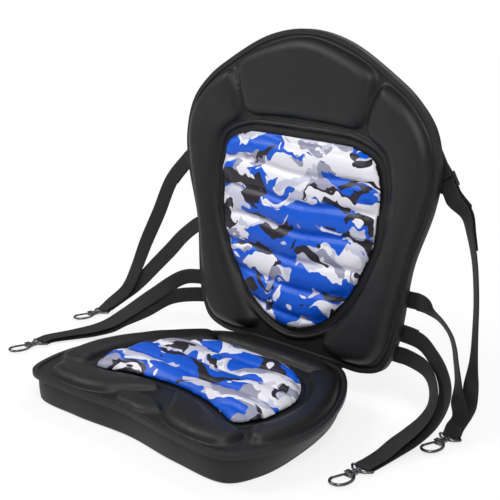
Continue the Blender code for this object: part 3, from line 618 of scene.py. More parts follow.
front_top = FIT + SHELL_THICK
back_edge = inset(back_outline, BIND_THICK + FIT)
top_low = two_sided([(0.0, BH - 0.132), (0.055, BH - 0.133), (0.114, BH - 0.134)])
top_up = two_sided([(0.0, BH - 0.014), (0.082, BH - 0.032), (0.136, BH - 0.058)])
bol_out = [(BX - 0.094, BH - 0.070), (BX - 0.050, BH - 0.100), (BX - 0.020, BH - 0.140),
           (BX - 0.011, BH - 0.180), (BX - 0.020, BH - 0.237), (BX - 0.041, 0.180),
           (BX - 0.054, 0.105), (BX - 0.066, 0.052), (BX - 0.088, 0.022), (0.100, 0.014)]
bol_in = [(BX - 0.107, BH - 0.073), (BX - 0.123, BH - 0.108), (BX - 0.123, BH - 0.140),
          (BX - 0.086, BH - 0.170), (BX - 0.075, BH - 0.228), (BX - 0.087, 0.195),
          (BX - 0.108, 0.140), (BX - 0.136, 0.090), (0.082, 0.052), (0.066, 0.030)]
back_pads = [
    (top_up, top_low, TOP_PAD_HEIGHT, 0.016, 0.10),
    (bol_out, bol_in, BACK_PAD_HEIGHT, 0.017, 0.26),
    (mirror(bol_out), mirror(bol_in), BACK_PAD_HEIGHT, 0.017, 0.26)]
back_cover = field_piece(
    "backrest_front_skin", back_edge, np.array([0.0, 0.245]), 150,
    lambda p: pads_height(p, back_pads, front_top, back_edge, back_print, 0.0046), back_place,
    FIT, EVA, "backrest", "eva_fabric")
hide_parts("backrest_front")


def rear_height(points):
    depth = inside(points, back_outline)
    rise = ease((depth - 0.0150) / 0.0180)
    return -FIT - SHELL_THICK - (REAR_DOME - SHELL_THICK - FIT) * rise


back_rear = field_piece(
    "backrest_rear_skin", back_edge, np.array([0.0, 0.245]), 110, rear_height, back_place,
    -FIT, EVA, "backrest", "eva_fabric")
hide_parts("backrest_rear")


# The tray under the seat

tray_floor = GRIP_THICK + FIT
wall_out = inset(seat_outline, WALL_INSET)
wall_in = inset(seat_outline, WALL_INSET + TRAY_WALL)
TRAY_ROUND = 0.0055
TRAY_BELLY = 0.0012
tray_rings = [seat_place(inset(tray_outline, 0.0108), tray_floor),
              seat_place(inset(tray_outline, 0.0100), FOOT_GAP + 0.0003)]
for a in np.linspace(0.0, math.pi / 2.0, 7):
    tray_rings.append(seat_place(inset(tray_outline, TRAY_ROUND * (1.0 - math.sin(a))),
                                 FOOT_GAP + TRAY_ROUND * (1.0 - math.cos(a))))
for t in np.linspace(0.08, 1.0, 11):
    mixed = tray_outline * (1.0 - t) + wall_out * t
    rise = t * (FLANGE_Z - FOOT_GAP - TRAY_ROUND - 0.0003)
    tray_rings.append(seat_place(inset(mixed, -TRAY_BELLY * math.sin(math.pi * t)),
                                 FOOT_GAP + TRAY_ROUND + rise))
tray_rings += [
    seat_place(inset(seat_outline, WALL_INSET - 0.0003), FLANGE_Z),
    seat_place(lip_edge, FLANGE_Z), seat_place(lip_edge, lip_top),
    seat_place(wall_in, lip_top), seat_place(inset(tray_outline, TRAY_WALL), tray_floor + 0.0075),
    seat_place(inset(tray_outline, 0.0100), tray_floor + TRAY_WALL)]
tray = make("seat_tray_skin", *ring_solid(tray_rings), TRAY_LOOK, "seat", "eva_fabric")
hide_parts("seat_tray")


# Printed cushions: a crowned bag, blown up by simulation, then quilted into rolls

def inflate(obj, voxel, cap, pressure=4.0):
    remesh = obj.modifiers.new("grid", "REMESH")
    remesh.mode = "VOXEL"
    remesh.voxel_size = voxel
    apply_all(obj)
    rest = points_of(obj.data)
    cloth = obj.modifiers.new("cloth", "CLOTH")
    cloth.settings.quality = 5
    cloth.settings.mass = 0.15
    cloth.settings.tension_stiffness = 18.0
    cloth.settings.compression_stiffness = 18.0
    cloth.settings.bending_stiffness = 1.2
    cloth.settings.use_pressure = True
    cloth.settings.uniform_pressure_force = pressure
    cloth.settings.effector_weights.gravity = 0.0
    cloth.point_cache.frame_start = 1
    cloth.point_cache.frame_end = 20
    for f in range(1, 21):
        bpy.context.scene.frame_set(f)
    apply_all(obj)
    bpy.context.scene.frame_set(1)
    now = points_of(obj.data)
    if len(now) == len(rest):
        move = now - rest
        size = np.linalg.norm(move, axis=1)[:, None]
        now = rest + move * np.minimum(1.0, cap / np.maximum(size, 1e-9))
    put_points(obj.data, now)
    sub = obj.modifiers.new("finer", "SUBSURF")
    sub.levels = 1
    sub.render_levels = 1
    apply_all(obj)


def apply_all(obj):
    graph = bpy.context.evaluated_depsgraph_get()
    graph.update()
    done = bpy.data.meshes.new_from_object(obj.evaluated_get(graph))
    obj.modifiers.clear()
    obj.data = done


def points_of(mesh):
    co = np.zeros(len(mesh.vertices) * 3)
    mesh.vertices.foreach_get("co", co)
    return co.reshape(-1, 3)


def put_points(mesh, points):
    mesh.vertices.foreach_set("co", np.asarray(points, float).ravel())
    mesh.update()


VALLEY_DEPTH = 0.0042
ROLL_DEPTH = 0.0014
PUCKER_DEPTH = 0.00022
SAG_DEPTH = 0.0007


def bag(name, outline, centre, place, base, height, mat):
    # The bag starts a little small and low, because it swells
    n = len(outline)
    levels = 46
    flat = disc_points(outline, centre, levels, 0.8)
    depth = np.clip(inside(flat, outline) / 0.030, 0.0, 1.0)
    high = base + 0.0012 + (height - 0.0022) * np.sqrt(1.0 - (1.0 - depth) ** 2.4)
    faces = []
    for shift, flip in ((0, False), (len(flat), True)):
        for i in range(n):
            face = (shift, shift + 1 + i, shift + 1 + (i + 1) % n)
            faces.append(face[::-1] if flip else face)
        for face in ring_faces(n, levels, shift + 1):
            faces.append(face[::-1] if flip else face)
    edge = 1 + (levels - 1) * n
    for i in range(n):
        j = (i + 1) % n
        faces.append((edge + i, edge + j, len(flat) + edge + j, len(flat) + edge + i))
    obj = make(name, list(place(flat, high)) + list(place(flat, base)), faces, mat)
    inflate(obj, 0.0040, 0.0050)
    return obj


def cushion(name, outline, centre, place, base, height, normal, along, mat, body, node, offset):
    obj = bag(name, outline, centre, place, base, height, mat)
    pts = points_of(obj.data)
    origin = place(np.array([[0.0, 0.0]]), 0.0)[0]
    local = pts - origin
    across = local[:, 0]
    up = local @ along
    out = local @ normal
    flat = np.column_stack([across, up])
    depth = inside(flat, outline)
    # Rolls: each seam pulls the fabric down in a narrow valley with small puckers
    bow = 0.006 * wander(np.column_stack([across, np.zeros(len(across))]), 0.16, 8)
    phase = (up + bow - offset) / CHANNEL_PITCH
    seam = np.abs(phase - np.round(phase)) * CHANNEL_PITCH
    hold = ease(depth / 0.020)
    valley = np.exp(-(seam / 0.0052) ** 2)
    roll = np.cos(2.0 * math.pi * phase)
    pucker = np.sin(across / 0.0072 + 7.0 * np.sin(across / 0.043) + 2.1 * np.round(phase))
    pull = -VALLEY_DEPTH * valley - ROLL_DEPTH * roll
    pull += PUCKER_DEPTH * pucker * np.exp(-((seam - 0.0060) / 0.0050) ** 2)
    pull += SAG_DEPTH * wander(flat, 0.050, 11)
    above = ease((out - base - 0.0030) / 0.004)
    pts = pts + (pull * hold * above)[:, None] * normal
    # Nothing sinks below the fabric that the cushion lies on
    out = (pts - origin) @ normal
    pts += np.maximum(base + 0.0001 - out, 0.0)[:, None] * normal
    put_points(obj.data, pts)
    dress(obj.data, mat)
    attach(obj, body)
    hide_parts(node)


BAG_INSET = 0.0015
seat_bag = inset(seat_print, BAG_INSET)
back_bag = inset(back_print, BAG_INSET)
cushion("seat_cushion_skin", seat_bag, np.array([0.0, -0.005]), seat_place, cover_top + FIT,
        CUSHION_HEIGHT, up_z, np.array([0.0, 1.0, 0.0]), CAMO_SEAT, "seat", "seat_cushion", 0.0)
cushion("backrest_cushion_skin", back_bag, np.array([0.0, 0.20]), back_place, front_top + FIT,
        CUSHION_HEIGHT * 0.88, back_front, back_up, CAMO_BACK, "backrest", "backrest_cushion",
        0.022)


# Edge tape with its two rows of stitches

def point_at(points, where, marks=None):
    # The place at a given mark along a line, or at a given share of its points
    p = np.asarray(points, float)
    marks = np.arange(len(p)) if marks is None else marks
    return np.array([np.interp(where, marks, p[:, k]) for k in range(3)])


def stitches(name, path, normals, pitch, length, radius, body, slot="binding_tape"):
    path = np.asarray(path, float)
    s = np.r_[0.0, np.cumsum(np.linalg.norm(np.diff(path, axis=0), axis=1))]
    verts = []
    faces = []
    profile = [(-0.5, 0.0), (-0.42, 0.7), (-0.2, 1.0), (0.2, 1.0), (0.42, 0.7), (0.5, 0.0)]
    for middle in np.arange(pitch / 2.0, s[-1], pitch):
        centre = point_at(path, middle, s)
        t = unit(point_at(path, middle + 0.0005, s) - point_at(path, middle - 0.0005, s))
        nor = point_at(normals, middle, s)
        nor = unit(nor - t * np.dot(nor, t))
        side = np.cross(t, nor)
        base = len(verts)
        for share, wide in profile:
            if wide == 0.0:
                verts.append(centre + t * length * share - nor * radius * 0.5)
                continue
            for k in range(6):
                a = 2.0 * math.pi * k / 6.0
                arch = -nor * radius * 0.5 * (abs(share) > 0.3)
                verts.append(centre + t * length * share + arch
                             + radius * wide * (side * math.cos(a) + nor * math.sin(a)))
        first = base + 1
        for k in range(6):
            m = (k + 1) % 6
            faces.append((base, first + m, first + k))
            for ring in range(3):
                a = first + ring * 6
                faces.append((a + k, a + m, a + 6 + m, a + 6 + k))
            faces.append((first + 18 + k, first + 18 + m, first + 24))
    return make(name, verts, faces, THREAD, body, slot)


BIND_ROUND = 0.0011


def binding(name, outline, place, low, high, body, node):
    out = BIND_THICK
    quarter = [(math.sin(a), math.cos(a)) for a in np.linspace(0.0, math.pi / 2.0, 5)]
    section = [(-BIND_WIDTH, high + 0.0002), (-BIND_WIDTH + 0.0004, high + out - 0.0002),
               (-BIND_WIDTH + 0.0014, high + out)]
    section += [(BIND_ROUND * (x - 1.0), high + out - BIND_ROUND * (1.0 - y)) for x, y in quarter]
    section += [(BIND_ROUND * (y - 1.0), low - out + BIND_ROUND * (1.0 - x)) for x, y in quarter]
    section += [(-BIND_WIDTH + 0.0014, low - out), (-BIND_WIDTH + 0.0004, low - out + 0.0002),
                (-BIND_WIDTH, low - 0.0002), (-BIND_WIDTH, low), (-out, low), (-out, high),
                (-BIND_WIDTH, high)]
    rings = [place(inset(outline, -r), z) for r, z in section]
    obj = make(name + "_skin", *ring_solid(rings, closed=True), TAPE, body, "binding_tape")
    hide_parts(node)
    track = np.vstack([inset(outline, 0.0062), inset(outline, 0.0062)[:1]])
    probe = place(track[:2], 1.0)[0] - place(track[:2], 0.0)[0]
    for word, level, sign in (("upper", high + out, 1.0), ("lower", low - out, -1.0)):
        path = place(track, level)
        normals = np.tile(probe * sign, (len(path), 1))
        stitches(name + "_stitches_" + word, path, normals, 0.0046, 0.0034, 0.00034, body)


binding("seat_binding", seat_outline, seat_place, FLANGE_Z - FIT, cover_top + FIT, "seat",
        "seat_binding")
binding("backrest_binding", back_outline, back_place, -SHELL_THICK - 2 * FIT,
        SHELL_THICK + 2 * FIT, "backrest", "backrest_binding")


# Webbing

def ribbon(route, sides, width, thick):
    p = np.array(route, float)
    w = np.array(sides, float)
    n = len(p)
    half = width / 2.0
    shape = [(-half + 0.0006, -0.5), (-half, -0.28), (-half, 0.28), (-half + 0.0006, 0.5)]
    shape += [(x, 0.5) for x in np.linspace(-half * 0.6, half * 0.6, 5)]
    shape += [(half - 0.0006, 0.5), (half, 0.28), (half, -0.28), (half - 0.0006, -0.5)]
    shape += [(x, -0.5) for x in np.linspace(half * 0.6, -half * 0.6, 5)]
    s = np.r_[0.0, np.cumsum(np.linalg.norm(np.diff(p, axis=0), axis=1))]
    rings = []
    uv = []
    for i in range(n):
        t = unit(p[min(i + 1, n - 1)] - p[max(i - 1, 0)])
        side = unit(w[i] - t * np.dot(w[i], t))
        up = np.cross(t, side)
        rings.append([p[i] + side * x + up * y * thick for x, y in shape])
        uv += [(s[i], x) for x, y in shape]
    verts, faces = ring_solid(rings)
    return verts, faces, uv


def turn(centre, start, bulge, radius, slack=1.0, count=17):
    ang = np.linspace(0.0, math.pi, count)
    return [centre + radius * (start * math.cos(a) + bulge * slack * math.sin(a)) for a in ang]


def edge_half(v):
    right = back_outline[back_outline[:, 0] > 0.05]
    band = right[np.argsort(np.abs(right[:, 1] - v))[:6]]
    return band[:, 0].max()


tab_depth = REAR_DOME + FIT + WEB_THICK / 2.0
sewn_gap = WEB_THICK + FIT + 0.0003
anchor_turn = BUCKLE_BAR + 0.0009 + WEB_THICK / 2.0
bar_depth = tab_depth + WEB_TURN + 0.0003
back = -back_front
# Each strap: side of the seat, height and place of the anchor bar, how far the buckle points
# down, eye place, which run lies on top at the eye, height of the sewn end, how far the tail
# lies along the first run, the way each run's width turns to and how far, how steeply the
# webbing leaves the eye, the share from the eye on that keeps still when the back folds (the
# lower right strap lies over a hook), and the two runs
SIGHT = np.array([0.665, -0.700, 0.261])
FACING = np.array([-0.724, -0.520, 0.451])
straps = {
    "left_upper": dict(
        sign=-1, v=0.294, bar=BX - 0.010, lean=45.0, eye=(-0.4452, 0.149), first_on_top=True,
        sewn_v=0.163, tail=3.3, lay=FACING, edge_on=(1.6, 0.8), rise=28.0, still=0.0,
        first=[(-0.2712, 0.1985, 0.3044), (-0.3066, 0.1950, 0.2641), (-0.3347, 0.1900, 0.2036),
               (-0.3646, 0.1850, 0.1442), (-0.3892, 0.1800, 0.0876), (-0.4142, 0.1755, 0.0447)],
        second=[(-0.4169, 0.1820, 0.0380), (-0.3794, 0.1860, 0.0705), (-0.3421, 0.1890, 0.1065),
                (-0.3046, 0.1900, 0.1410), (-0.2700, 0.1905, 0.1740)]),
    "left_lower": dict(
        sign=-1, v=0.073, bar=0.152, lean=0.0, eye=(-0.3870, -0.030), first_on_top=True,
        sewn_v=0.042, tail=2.4, lay=SIGHT, edge_on=(0.0, 0.0), rise=6.0, still=0.0,
        first=[(-0.2462, 0.1700, 0.1080), (-0.2768, 0.1280, 0.0790), (-0.3119, 0.0900, 0.0440),
               (-0.3306, 0.0720, 0.0280), (-0.3479, 0.0520, 0.0185), (-0.3710, 0.0260, 0.0115)],
        second=[(-0.3715, 0.0220, 0.0042), (-0.3476, 0.0520, 0.0105), (-0.3316, 0.0720, 0.0185),
                (-0.3129, 0.0900, 0.0335), (-0.2859, 0.1120, 0.0510),
                (-0.2586, 0.1500, 0.0735)]),
    "right_upper": dict(
        sign=1, v=0.312, bar=BX - 0.003, lean=58.0, eye=(0.3197, 0.143), first_on_top=False,
        sewn_v=0.128, tail=4.4, lay=SIGHT, edge_on=(9.0, 8.0), rise=55.0, still=0.0,
        first=[(0.2830, 0.2010, 0.3030), (0.2920, 0.2020, 0.2760), (0.3030, 0.2000, 0.2400),
               (0.3120, 0.1960, 0.1890), (0.3170, 0.1905, 0.1490), (0.3212, 0.1850, 0.1000),
               (0.3214, 0.1825, 0.0690), (0.3205, 0.1800, 0.0365)],
        second=[(0.3155, 0.1690, 0.0240), (0.3075, 0.1740, 0.0440), (0.3002, 0.1820, 0.0690),
                (0.2900, 0.1900, 0.0930), (0.2810, 0.1970, 0.1110), (0.2710, 0.2010, 0.1260),
                (0.2540, 0.2010, 0.1430), (0.2370, 0.1960, 0.1550)]),
    "right_lower": dict(
        sign=1, v=0.075, bar=0.152, lean=0.0, eye=(0.2932, -0.018), first_on_top=False,
        sewn_v=0.042, tail=2.4, lay=SIGHT, edge_on=(0.0, 0.0), rise=0.0, still=0.42,
        first=[(0.2310, 0.1870, 0.1090), (0.2580, 0.1800, 0.0950), (0.2800, 0.1700, 0.0800),
               (0.2980, 0.1540, 0.0620), (0.3060, 0.1350, 0.0460), (0.3080, 0.1070, 0.0290),
               (0.3030, 0.0740, 0.0150), (0.2980, 0.0400, 0.0080)],
        second=[(0.2955, 0.0180, 0.0120), (0.2965, 0.0460, 0.0195), (0.2990, 0.0770, 0.0280),
                (0.2985, 0.1080, 0.0385), (0.2900, 0.1370, 0.0515), (0.2720, 0.1600, 0.0660),
                (0.2480, 0.1760, 0.0760)]),
}


RUN = 130
FIRST_PARTS = 18.0
SECOND_PARTS = 19.0
TAB_LENGTH = 0.0450
TAB_FLAT = 0.0300
STRAP_OUT = 0.0170
BOX_HALF = 0.0090
SEWN_LENGTH = 0.0780
SEWN_OUT = 0.0120


def twist(start, end, begin, finish, lay, amount):
    # The webbing's width turns from start to end, and towards a third way between them
    sides = []
    for i in range(RUN):
        mix = min(max((i / (RUN - 1.0) - begin) / (finish - begin), 0.0), 1.0)
        bell = math.sin(math.pi * mix) ** 2
        mix = float(ease(mix))
        sides.append(unit(start * (1.0 - mix) + end * mix + lay * amount * bell))
    return sides


def box_stitch(name, low, wide, way, length, count):
    # A box with its diagonals, sewn through webbing that lies on the rear
    low = low + back * WEB_THICK / 2.0
    corners = [low - wide * BOX_HALF, low + wide * BOX_HALF,
               low + wide * BOX_HALF + way * length, low - wide * BOX_HALF + way * length]
    path = resample(np.array([corners[i] for i in (0, 1, 2, 3, 0, 2, 3, 1)]), count, False)
    stitches(name, path, np.tile(back, (len(path), 1)), 0.0030, 0.0023, 0.0003, "backrest",
             "webbing")


def strap_ways(data):
    # Across the seat, along the buckle, along its bars, and the place of the anchor bar
    lean = math.radians(data["lean"])
    across = side_x * data["sign"]
    out = across * math.cos(lean) - back_up * math.sin(lean)
    wide = back_up * math.cos(lean) + across * math.sin(lean)
    return across, out, wide, back_place([(data["sign"] * data["bar"], data["v"])], -bar_depth)[0]


def make_anchor(key, data):
    # A loop of webbing round the anchor bar, with both its ends sewn to the rear
    across, out, wide, bar = strap_ways(data)
    inner = bar - out * TAB_LENGTH + back * (tab_depth - bar_depth)
    outer = inner + back * sewn_gap
    tab = [inner + out * d for d in np.linspace(0.0, TAB_FLAT, 8)]
    tab += turn(bar, -back, out, anchor_turn, 1.27)
    tab += [outer + out * d for d in np.linspace(TAB_FLAT, 0.0, 8)]
    verts, faces, uv = ribbon(tab, [wide] * len(tab), WEB_WIDTH, WEB_THICK)
    anchor = make("anchor_" + key + "_skin", verts, faces, WEB, "backrest", "webbing", uv=uv)
    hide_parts("anchor_" + key)
    box_stitch("anchor_" + key + "_stitches", outer + out * 0.003, wide, out, 0.02, 120)


def tail_run(data, first, first_side, lock, out, wide):
    # The free end, which lies on the first run and goes back into the lock
    tail = []
    sides = []
    for share in np.linspace(data["tail"], 1.7, 28):
        i = share * (RUN - 1.0) / FIRST_PARTS
        t = unit(point_at(first, i + 1.0) - point_at(first, i - 1.0))
        side = point_at(first_side, i)
        nor = unit(np.cross(t, side))
        if np.dot(nor, back) < 0:
            nor = -nor
        tail.append(point_at(first, i) + nor * (2.0 * WEB_TURN - 0.0008 * share))
        sides.append(side)
    joint = [tail[-1]] + [lock + back * WEB_TURN + out * d for d in (0.0190, 0.0120, 0.004)]
    joint = list(smooth_curve(joint, 14))[1:]
    return tail + joint, sides + [wide] * len(joint)


def lifted(route, sides):
    # The route, raised where the webbing's edge would dip into the floor
    for i in range(1, len(route) - 1):
        t = unit(route[i + 1] - route[i - 1])
        edge = unit(sides[i] - t * np.dot(sides[i], t))
        lowest = HOOK_Z - WEB_TURN + abs(edge[2]) * WEB_WIDTH / 2.0
        route[i] = np.array([route[i][0], route[i][1], max(route[i][2], lowest)])
    return route


def make_strap(key, data):
    # From the free end round the lock, down to the eye, round it and up to the sewn end
    across, out, wide, bar = strap_ways(data)
    lock = bar + out * BUCKLE_PITCH
    start = lock - back * WEB_TURN + out * STRAP_OUT
    centre = np.array([*data["eye"], HOOK_Z])
    rise = math.radians(data["rise"])
    leave = np.array([0.0, math.cos(rise), math.sin(rise)])
    over = np.array([0.0, -math.sin(rise), math.cos(rise)])
    over = over * (1.0 if data["first_on_top"] else -1.0)
    first = [start, start + out * 0.0080] + data["first"]
    first += [centre + over * WEB_TURN + leave * d for d in (0.012, 0.004)]
    first = smooth_curve(first, RUN)
    first_side = twist(wide, across, 0.3 / FIRST_PARTS, 14.5 / FIRST_PARTS, data["lay"],
                       data["edge_on"][0])
    tail, tail_side = tail_run(data, first, first_side, lock, out, wide)
    lock_turn = turn(lock, back, -out, WEB_TURN, 1.32) + [start - out * 0.0080]
    eye_turn = turn(centre, over, -leave, WEB_TURN)
    rim = edge_half(data["sewn_v"])
    sewn_u = data["sign"] * (rim + SEWN_OUT - SEWN_LENGTH)
    sewn = back_place([(sewn_u, data["sewn_v"])], -tab_depth)[0]
    second = [centre - over * WEB_TURN + leave * d for d in (0.004, 0.012)] + data["second"]
    second += [sewn + across * d for d in (SEWN_LENGTH, SEWN_LENGTH - SEWN_OUT, 0.030, 0.0)]
    second = smooth_curve(second, RUN)
    second_side = twist(across, back_up, 3.0 / SECOND_PARTS, 14.0 / SECOND_PARTS, data["lay"],
                        data["edge_on"][1])
    sides = tail_side + [wide] * len(lock_turn) + first_side
    sides += [across] * len(eye_turn) + second_side
    route = lifted(tail + lock_turn + list(first) + eye_turn + list(second), sides)
    verts, faces, uv = ribbon(route, sides, WEB_WIDTH, WEB_THICK)
    strap = make("strap_" + key + "_skin", verts, faces, WEB, None, "webbing", uv=uv)
    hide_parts("strap_" + key)
    hold = back_place([(data["sign"] * (rim + 0.004), data["sewn_v"])], -tab_depth)[0]
    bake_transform(strap)
    box_stitch("strap_" + key + "_stitches", sewn + across * 0.004, back_up, across, 0.034, 160)


for key, data in straps.items():
    make_anchor(key, data)
    make_strap(key, data)


# Clip hooks, each form cast in one: parts joined, remeshed and smoothed

def tube(route, radius, sides=20, closed=False):
    p = np.array(route, float)
    n = len(p)
    rings = []
    for i in range(n):
        ahead = p[(i + 1) % n] if closed else p[min(i + 1, n - 1)]
        t = unit(ahead - (p[i - 1] if closed or i else p[0]))
        a = unit(up_z - t * np.dot(up_z, t))
        b = np.cross(t, a)
        r = radius[i] if hasattr(radius, "__len__") else radius
        ang = 2.0 * math.pi * np.arange(sides) / sides
        rings.append([p[i] + r * (a * math.cos(k) + b * math.sin(k)) for k in ang])
    return ring_solid(rings, closed=closed)


def turned(centre, axis, profile, sides=28):
    axis = unit(np.array(axis, float))
    ref = np.array([1.0, 0.0, 0.0]) if abs(axis[0]) < 0.9 else np.array([0.0, 1.0, 0.0])
    a = unit(np.cross(axis, ref))
    b = np.cross(axis, a)
    ang = 2.0 * math.pi * np.arange(sides) / sides
    rings = [[centre + axis * level + r * (a * math.cos(k) + b * math.sin(k)) for k in ang]
             for level, r in profile]
    return ring_solid(rings)


def block(low, high):
    x0, y0, z0 = low
    x1, y1, z1 = high
    return ring_solid([[(x0, y0, z), (x1, y0, z), (x1, y1, z), (x0, y1, z)] for z in (z0, z1)])


def cast(name, parts, voxel, rounds):
    obj = make(name, *joined(parts), METAL)
    remesh = obj.modifiers.new("grid", "REMESH")
    remesh.mode = "VOXEL"
    remesh.voxel_size = voxel
    soft = obj.modifiers.new("soft", "SMOOTH")
    soft.factor = 0.5
    soft.iterations = rounds
    apply_all(obj)
    dress(obj.data, METAL)
    return obj


def hook_point(side, ahead):
    return np.array([side, -ahead, 0.0])


def on_axis(profile):
    return turned(np.zeros(3), (0.0, -1.0, 0.0), profile)


HOOK_VOXEL = 0.00038
GATE_VOXEL = 0.00034
boss_start = EYE_DEPTH - 0.0010
boss_end = boss_start + BOSS_LENGTH
eye_route = [hook_point(-EYE_HALF + 0.0030, 0.0), hook_point(0.0, 0.0),
             hook_point(EYE_HALF - 0.0030, 0.0), hook_point(EYE_HALF, 0.0030),
             hook_point(EYE_HALF - 0.0030, 0.0075), hook_point(0.0075, EYE_DEPTH + 0.0010),
             hook_point(0.0, EYE_DEPTH + 0.0015), hook_point(-0.0075, EYE_DEPTH + 0.0010),
             hook_point(-EYE_HALF + 0.0030, 0.0075), hook_point(-EYE_HALF, 0.0030)]
eye_route = smooth_curve(eye_route, 110, closed=True)
eye_model = cast("eye_model", [
    tube(eye_route, BAR_RADIUS + 0.0001, closed=True),
    on_axis([(boss_start - 0.0002, 0.0036), (boss_start + 0.0008, BOSS_RADIUS),
             (boss_end - 0.0010, BOSS_RADIUS), (boss_end, 0.0036)])], HOOK_VOXEL, 5)

base_start = boss_end + SWIVEL_FIT
base_end = base_start + 0.0105
TIP = HOOK_LENGTH - HOOK_BAR
spine = [hook_point(0.0020, base_end - 0.0030), hook_point(0.0072, base_end + 0.0020),
         hook_point(0.0112, base_end + 0.0090), hook_point(0.0128, base_end + 0.0175),
         hook_point(0.0112, TIP - 0.0085), hook_point(0.0065, TIP - 0.0018), hook_point(0.0, TIP),
         hook_point(-0.0062, TIP - 0.0020), hook_point(-0.0102, TIP - 0.0075),
         hook_point(-0.0112, TIP - 0.0130)]
spine = smooth_curve(spine, 90)
pivot = hook_point(-0.0050, base_end + 0.0005)
cheek = 0.0034
slot = GATE_BAR + 0.0004
rivet_head = [(cheek - 0.0006, 0.0019), (cheek + 0.0002, 0.0017), (cheek + 0.0005, 0.0010)]
hook_model = cast("hook_model", [
    on_axis([(boss_start - 0.0030, 0.0022), (boss_start - 0.0026, HEAD_RADIUS),
             (boss_start - 0.0009, HEAD_RADIUS), (boss_start - 0.0005, 0.0022)]),
    on_axis([(boss_start - 0.0012, SHANK_RADIUS), (base_start + 0.001, SHANK_RADIUS)]),
    on_axis([(base_start, 0.0034), (base_start + 0.0008, BOSS_RADIUS),
             (base_start + 0.0030, BOSS_RADIUS), (base_start + 0.0036, 0.0037),
             (base_start + 0.0042, 0.0041), (base_end - 0.0035, 0.0041)]),
    block((-0.0085, -base_end + 0.0041, -cheek), (0.0045, -base_end + 0.0055, cheek)),
    block((-0.0016, -base_end - 0.0038, -cheek), (0.0045, -base_end + 0.0055, cheek)),
    block((-0.0085, -base_end - 0.0038, slot), (-0.0010, -base_end + 0.0050, cheek)),
    block((-0.0085, -base_end - 0.0038, -cheek), (-0.0010, -base_end + 0.0050, -slot)),
    tube(spine, HOOK_BAR + 0.0001),
    turned(pivot, up_z, rivet_head), turned(pivot, -up_z, rivet_head)], HOOK_VOXEL, 5)
nose = spine[-1]
gate_end = nose + unit(pivot - nose) * 0.0008
gate_dir = unit(gate_end - pivot)
gate_steps = np.linspace(0.0, np.linalg.norm(gate_end - pivot), 30)
gate_model = cast("gate_model", [
    tube([pivot + gate_dir * d for d in gate_steps], GATE_BAR + 0.0001),
    turned(pivot, up_z, [(-GATE_BAR, GATE_EYE - 0.0003), (-GATE_BAR + 0.0003, GATE_EYE),
                         (GATE_BAR - 0.0003, GATE_EYE), (GATE_BAR, GATE_EYE - 0.0003)])],
    GATE_VOXEL, 4)

for key, data in straps.items():
    centre = (data["eye"][0], data["eye"][1], HOOK_Z)
    for word, model, body in (("eye", eye_model, "seat"), ("hook", hook_model, "hook_" + key),
                              ("gate", gate_model, "gate_" + key)):
        obj = bpy.data.objects.new(word + "_" + key + "_skin", model.data)
        bpy.context.scene.collection.objects.link(obj)
        obj.location = centre
        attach(obj, body)
        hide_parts(word + "_" + key)
for model in (eye_model, hook_model, gate_model):
    bpy.data.objects.remove(model, do_unlink=True)


# Hinge strip

flap_low = FLANGE_Z - FIT - BIND_THICK - FIT - FLAP_THICK / 2.0
flap_back = -SHELL_THICK - 2 * FIT - BIND_THICK - FIT - FLAP_THICK / 2.0
flap_route = [np.array([0.0, SR - 0.0080, flap_low]), np.array([0.0, SR - 0.0020, flap_low]),
              np.array([0.0, SR + 0.0060, flap_low + 0.0003])]
for rise in (0.0005, 0.0060, 0.0160):
    flap_route.append(back_place([(0.0, rise)], flap_back)[0])
flap_route = smooth_curve(flap_route, 60)
verts, faces, uv = ribbon(flap_route, [side_x] * len(flap_route), FLAP_WIDTH, FLAP_THICK)
flap = make("hinge_flap_skin", verts, faces, WEB, None, "webbing", uv=uv)
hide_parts("hinge_flap")
tuple(back_place([(0.0, 0.012)], flap_back)[0])
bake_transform(flap)


# Studs on the underside that grip the hull, in staggered rows

STUD_PITCH = 0.0130
STUD_ROW = 0.0113
stud_profile = [(0.0, 0.0022), (0.0004, 0.0030), (0.0012, 0.0033)]
spots = np.array([((col + row % 2 / 2.0) * STUD_PITCH, row * STUD_ROW)
                  for row in range(-20, 21) for col in range(-16, 17)])
spots = spots[inside(spots, inset(tray_outline, 0.018)) > 0.0]
studs = [turned(np.array([x, y, 0.0]), up_z, stud_profile, 12) for x, y in spots]
make("seat_grip_studs", *joined(studs), GRIP, "seat", "grip_fabric")


# CAD nodes that stay in view get a finished surface

for key in straps:
    buckle = nodes["buckle_" + key]
    buckle.data.materials.clear()
    buckle.data.materials.append(PLASTIC)
    bevel = buckle.modifiers.new("soft_edges", "BEVEL")
    bevel.width = 0.0005
    bevel.segments = 3
    bevel.limit_method = "ANGLE"
for name, mat in (("seat_grip_panel", GRIP), ("seat_foam_core", FOAM),
                  ("backrest_foam_core", FOAM)):
    nodes[name].data.materials.clear()
    nodes[name].data.materials.append(mat)


# Floor, light and camera

def plain(name, colour):
    look = Look(name)
    out = look.tree.nodes["Material Output"]
    grain = look.noise(look.place(), 3.0, 2.0)
    base = look.mix(grain, colour, [c * 0.985 for c in colour[:3]] + [1.0])
    look.set(Base_Color=base, Roughness=0.9, Specular_IOR_Level=0.1)
    # Far from the part the floor goes over to plain white
    far = look.put("ShaderNodeVectorMath", {0: look.place()}, operation="LENGTH").outputs["Value"]
    share = look.spread(far, 0.45, 1.4, 0.80, 1.0)
    glow = look.put("ShaderNodeEmission", {"Color": (1.0, 1.0, 1.0, 1.0), "Strength": 1.0})
    rays = look.put("ShaderNodeLightPath")
    seen = look.maths("MAXIMUM", rays.outputs["Is Camera Ray"], rays.outputs["Is Glossy Ray"])
    blend = look.put("ShaderNodeMixShader", {
        0: look.maths("MULTIPLY", seen, share), 1: look.shader.outputs[0], 2: glow.outputs[0]})
    look.tree.links.new(blend.outputs[0], out.inputs["Surface"])
    return look.mat


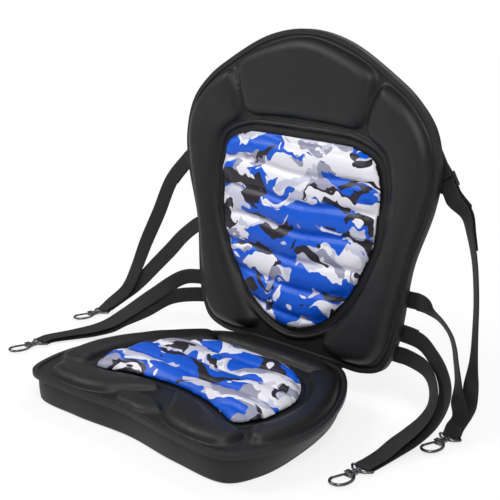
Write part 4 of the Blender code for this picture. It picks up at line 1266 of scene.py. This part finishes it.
FLOOR_HALF = 40.0
FLOOR_Z = -0.0005
floor = make("floor", [(x * FLOOR_HALF, y * FLOOR_HALF, FLOOR_Z)
                       for x, y in ((-1, -1), (1, -1), (1, 1), (-1, 1))],
             [(0, 1, 2, 3)], plain("floor", (0.90, 0.90, 0.90, 1.0)), smooth=False)

world = bpy.data.worlds.new("studio")
bpy.context.scene.world = world
world.use_nodes = True
tree = world.node_tree
paint = tree.nodes["Background"]
paint.inputs["Color"].default_value = (1.0, 1.0, 1.0, 1.0)
rays = tree.nodes.new("ShaderNodeLightPath")
bright = tree.nodes.new("ShaderNodeMapRange")
bright.inputs["To Min"].default_value = 0.28
bright.inputs["To Max"].default_value = 1.0
tree.links.new(rays.outputs["Is Camera Ray"], bright.inputs["Value"])
tree.links.new(bright.outputs[0], paint.inputs["Strength"])


def lamp(name, place, aim, size, watts):
    data = bpy.data.lights.new(name, "AREA")
    data.shape = "SQUARE"
    data.size = size
    data.energy = watts
    obj = bpy.data.objects.new(name, data)
    obj.location = place
    way = Vector(aim) - Vector(place)
    obj.rotation_euler = way.to_track_quat("-Z", "Y").to_euler()
    bpy.context.scene.collection.objects.link(obj)


middle = (0.0, 0.05, 0.20)
lamp("key", (-1.5, -1.2, 2.1), middle, 1.0, 33.0)
lamp("fill", (1.6, -1.3, 2.5), middle, 1.1, 54.0)
lamp("rim", (-0.3, 1.6, 2.4), middle, 1.4, 26.0)

CAMERA_AT = Vector((1.0732, -1.0580, 0.6433))
CAMERA_TARGET = Vector((-0.02305, 0.09584, 0.21298))
CAMERA_ROLL = math.radians(0.7074)
forward = (CAMERA_TARGET - CAMERA_AT).normalized()
right = forward.cross(Vector((0.0, 0.0, 1.0))).normalized()
up = right.cross(forward)
right_r = right * math.cos(CAMERA_ROLL) + up * math.sin(CAMERA_ROLL)
up_r = -right * math.sin(CAMERA_ROLL) + up * math.cos(CAMERA_ROLL)
camera_data = bpy.data.cameras.new("photo_camera")
camera_data.lens = 78.71
camera_data.sensor_width = 36.0
camera = bpy.data.objects.new("photo_camera", camera_data)
bpy.context.scene.collection.objects.link(camera)
turned_axes = Matrix((right_r, up_r, -forward)).transposed().to_4x4()
camera.matrix_world = Matrix.Translation(CAMERA_AT) @ turned_axes
bpy.context.scene.camera = camera
bpy.context.scene.view_settings.view_transform = "Standard"
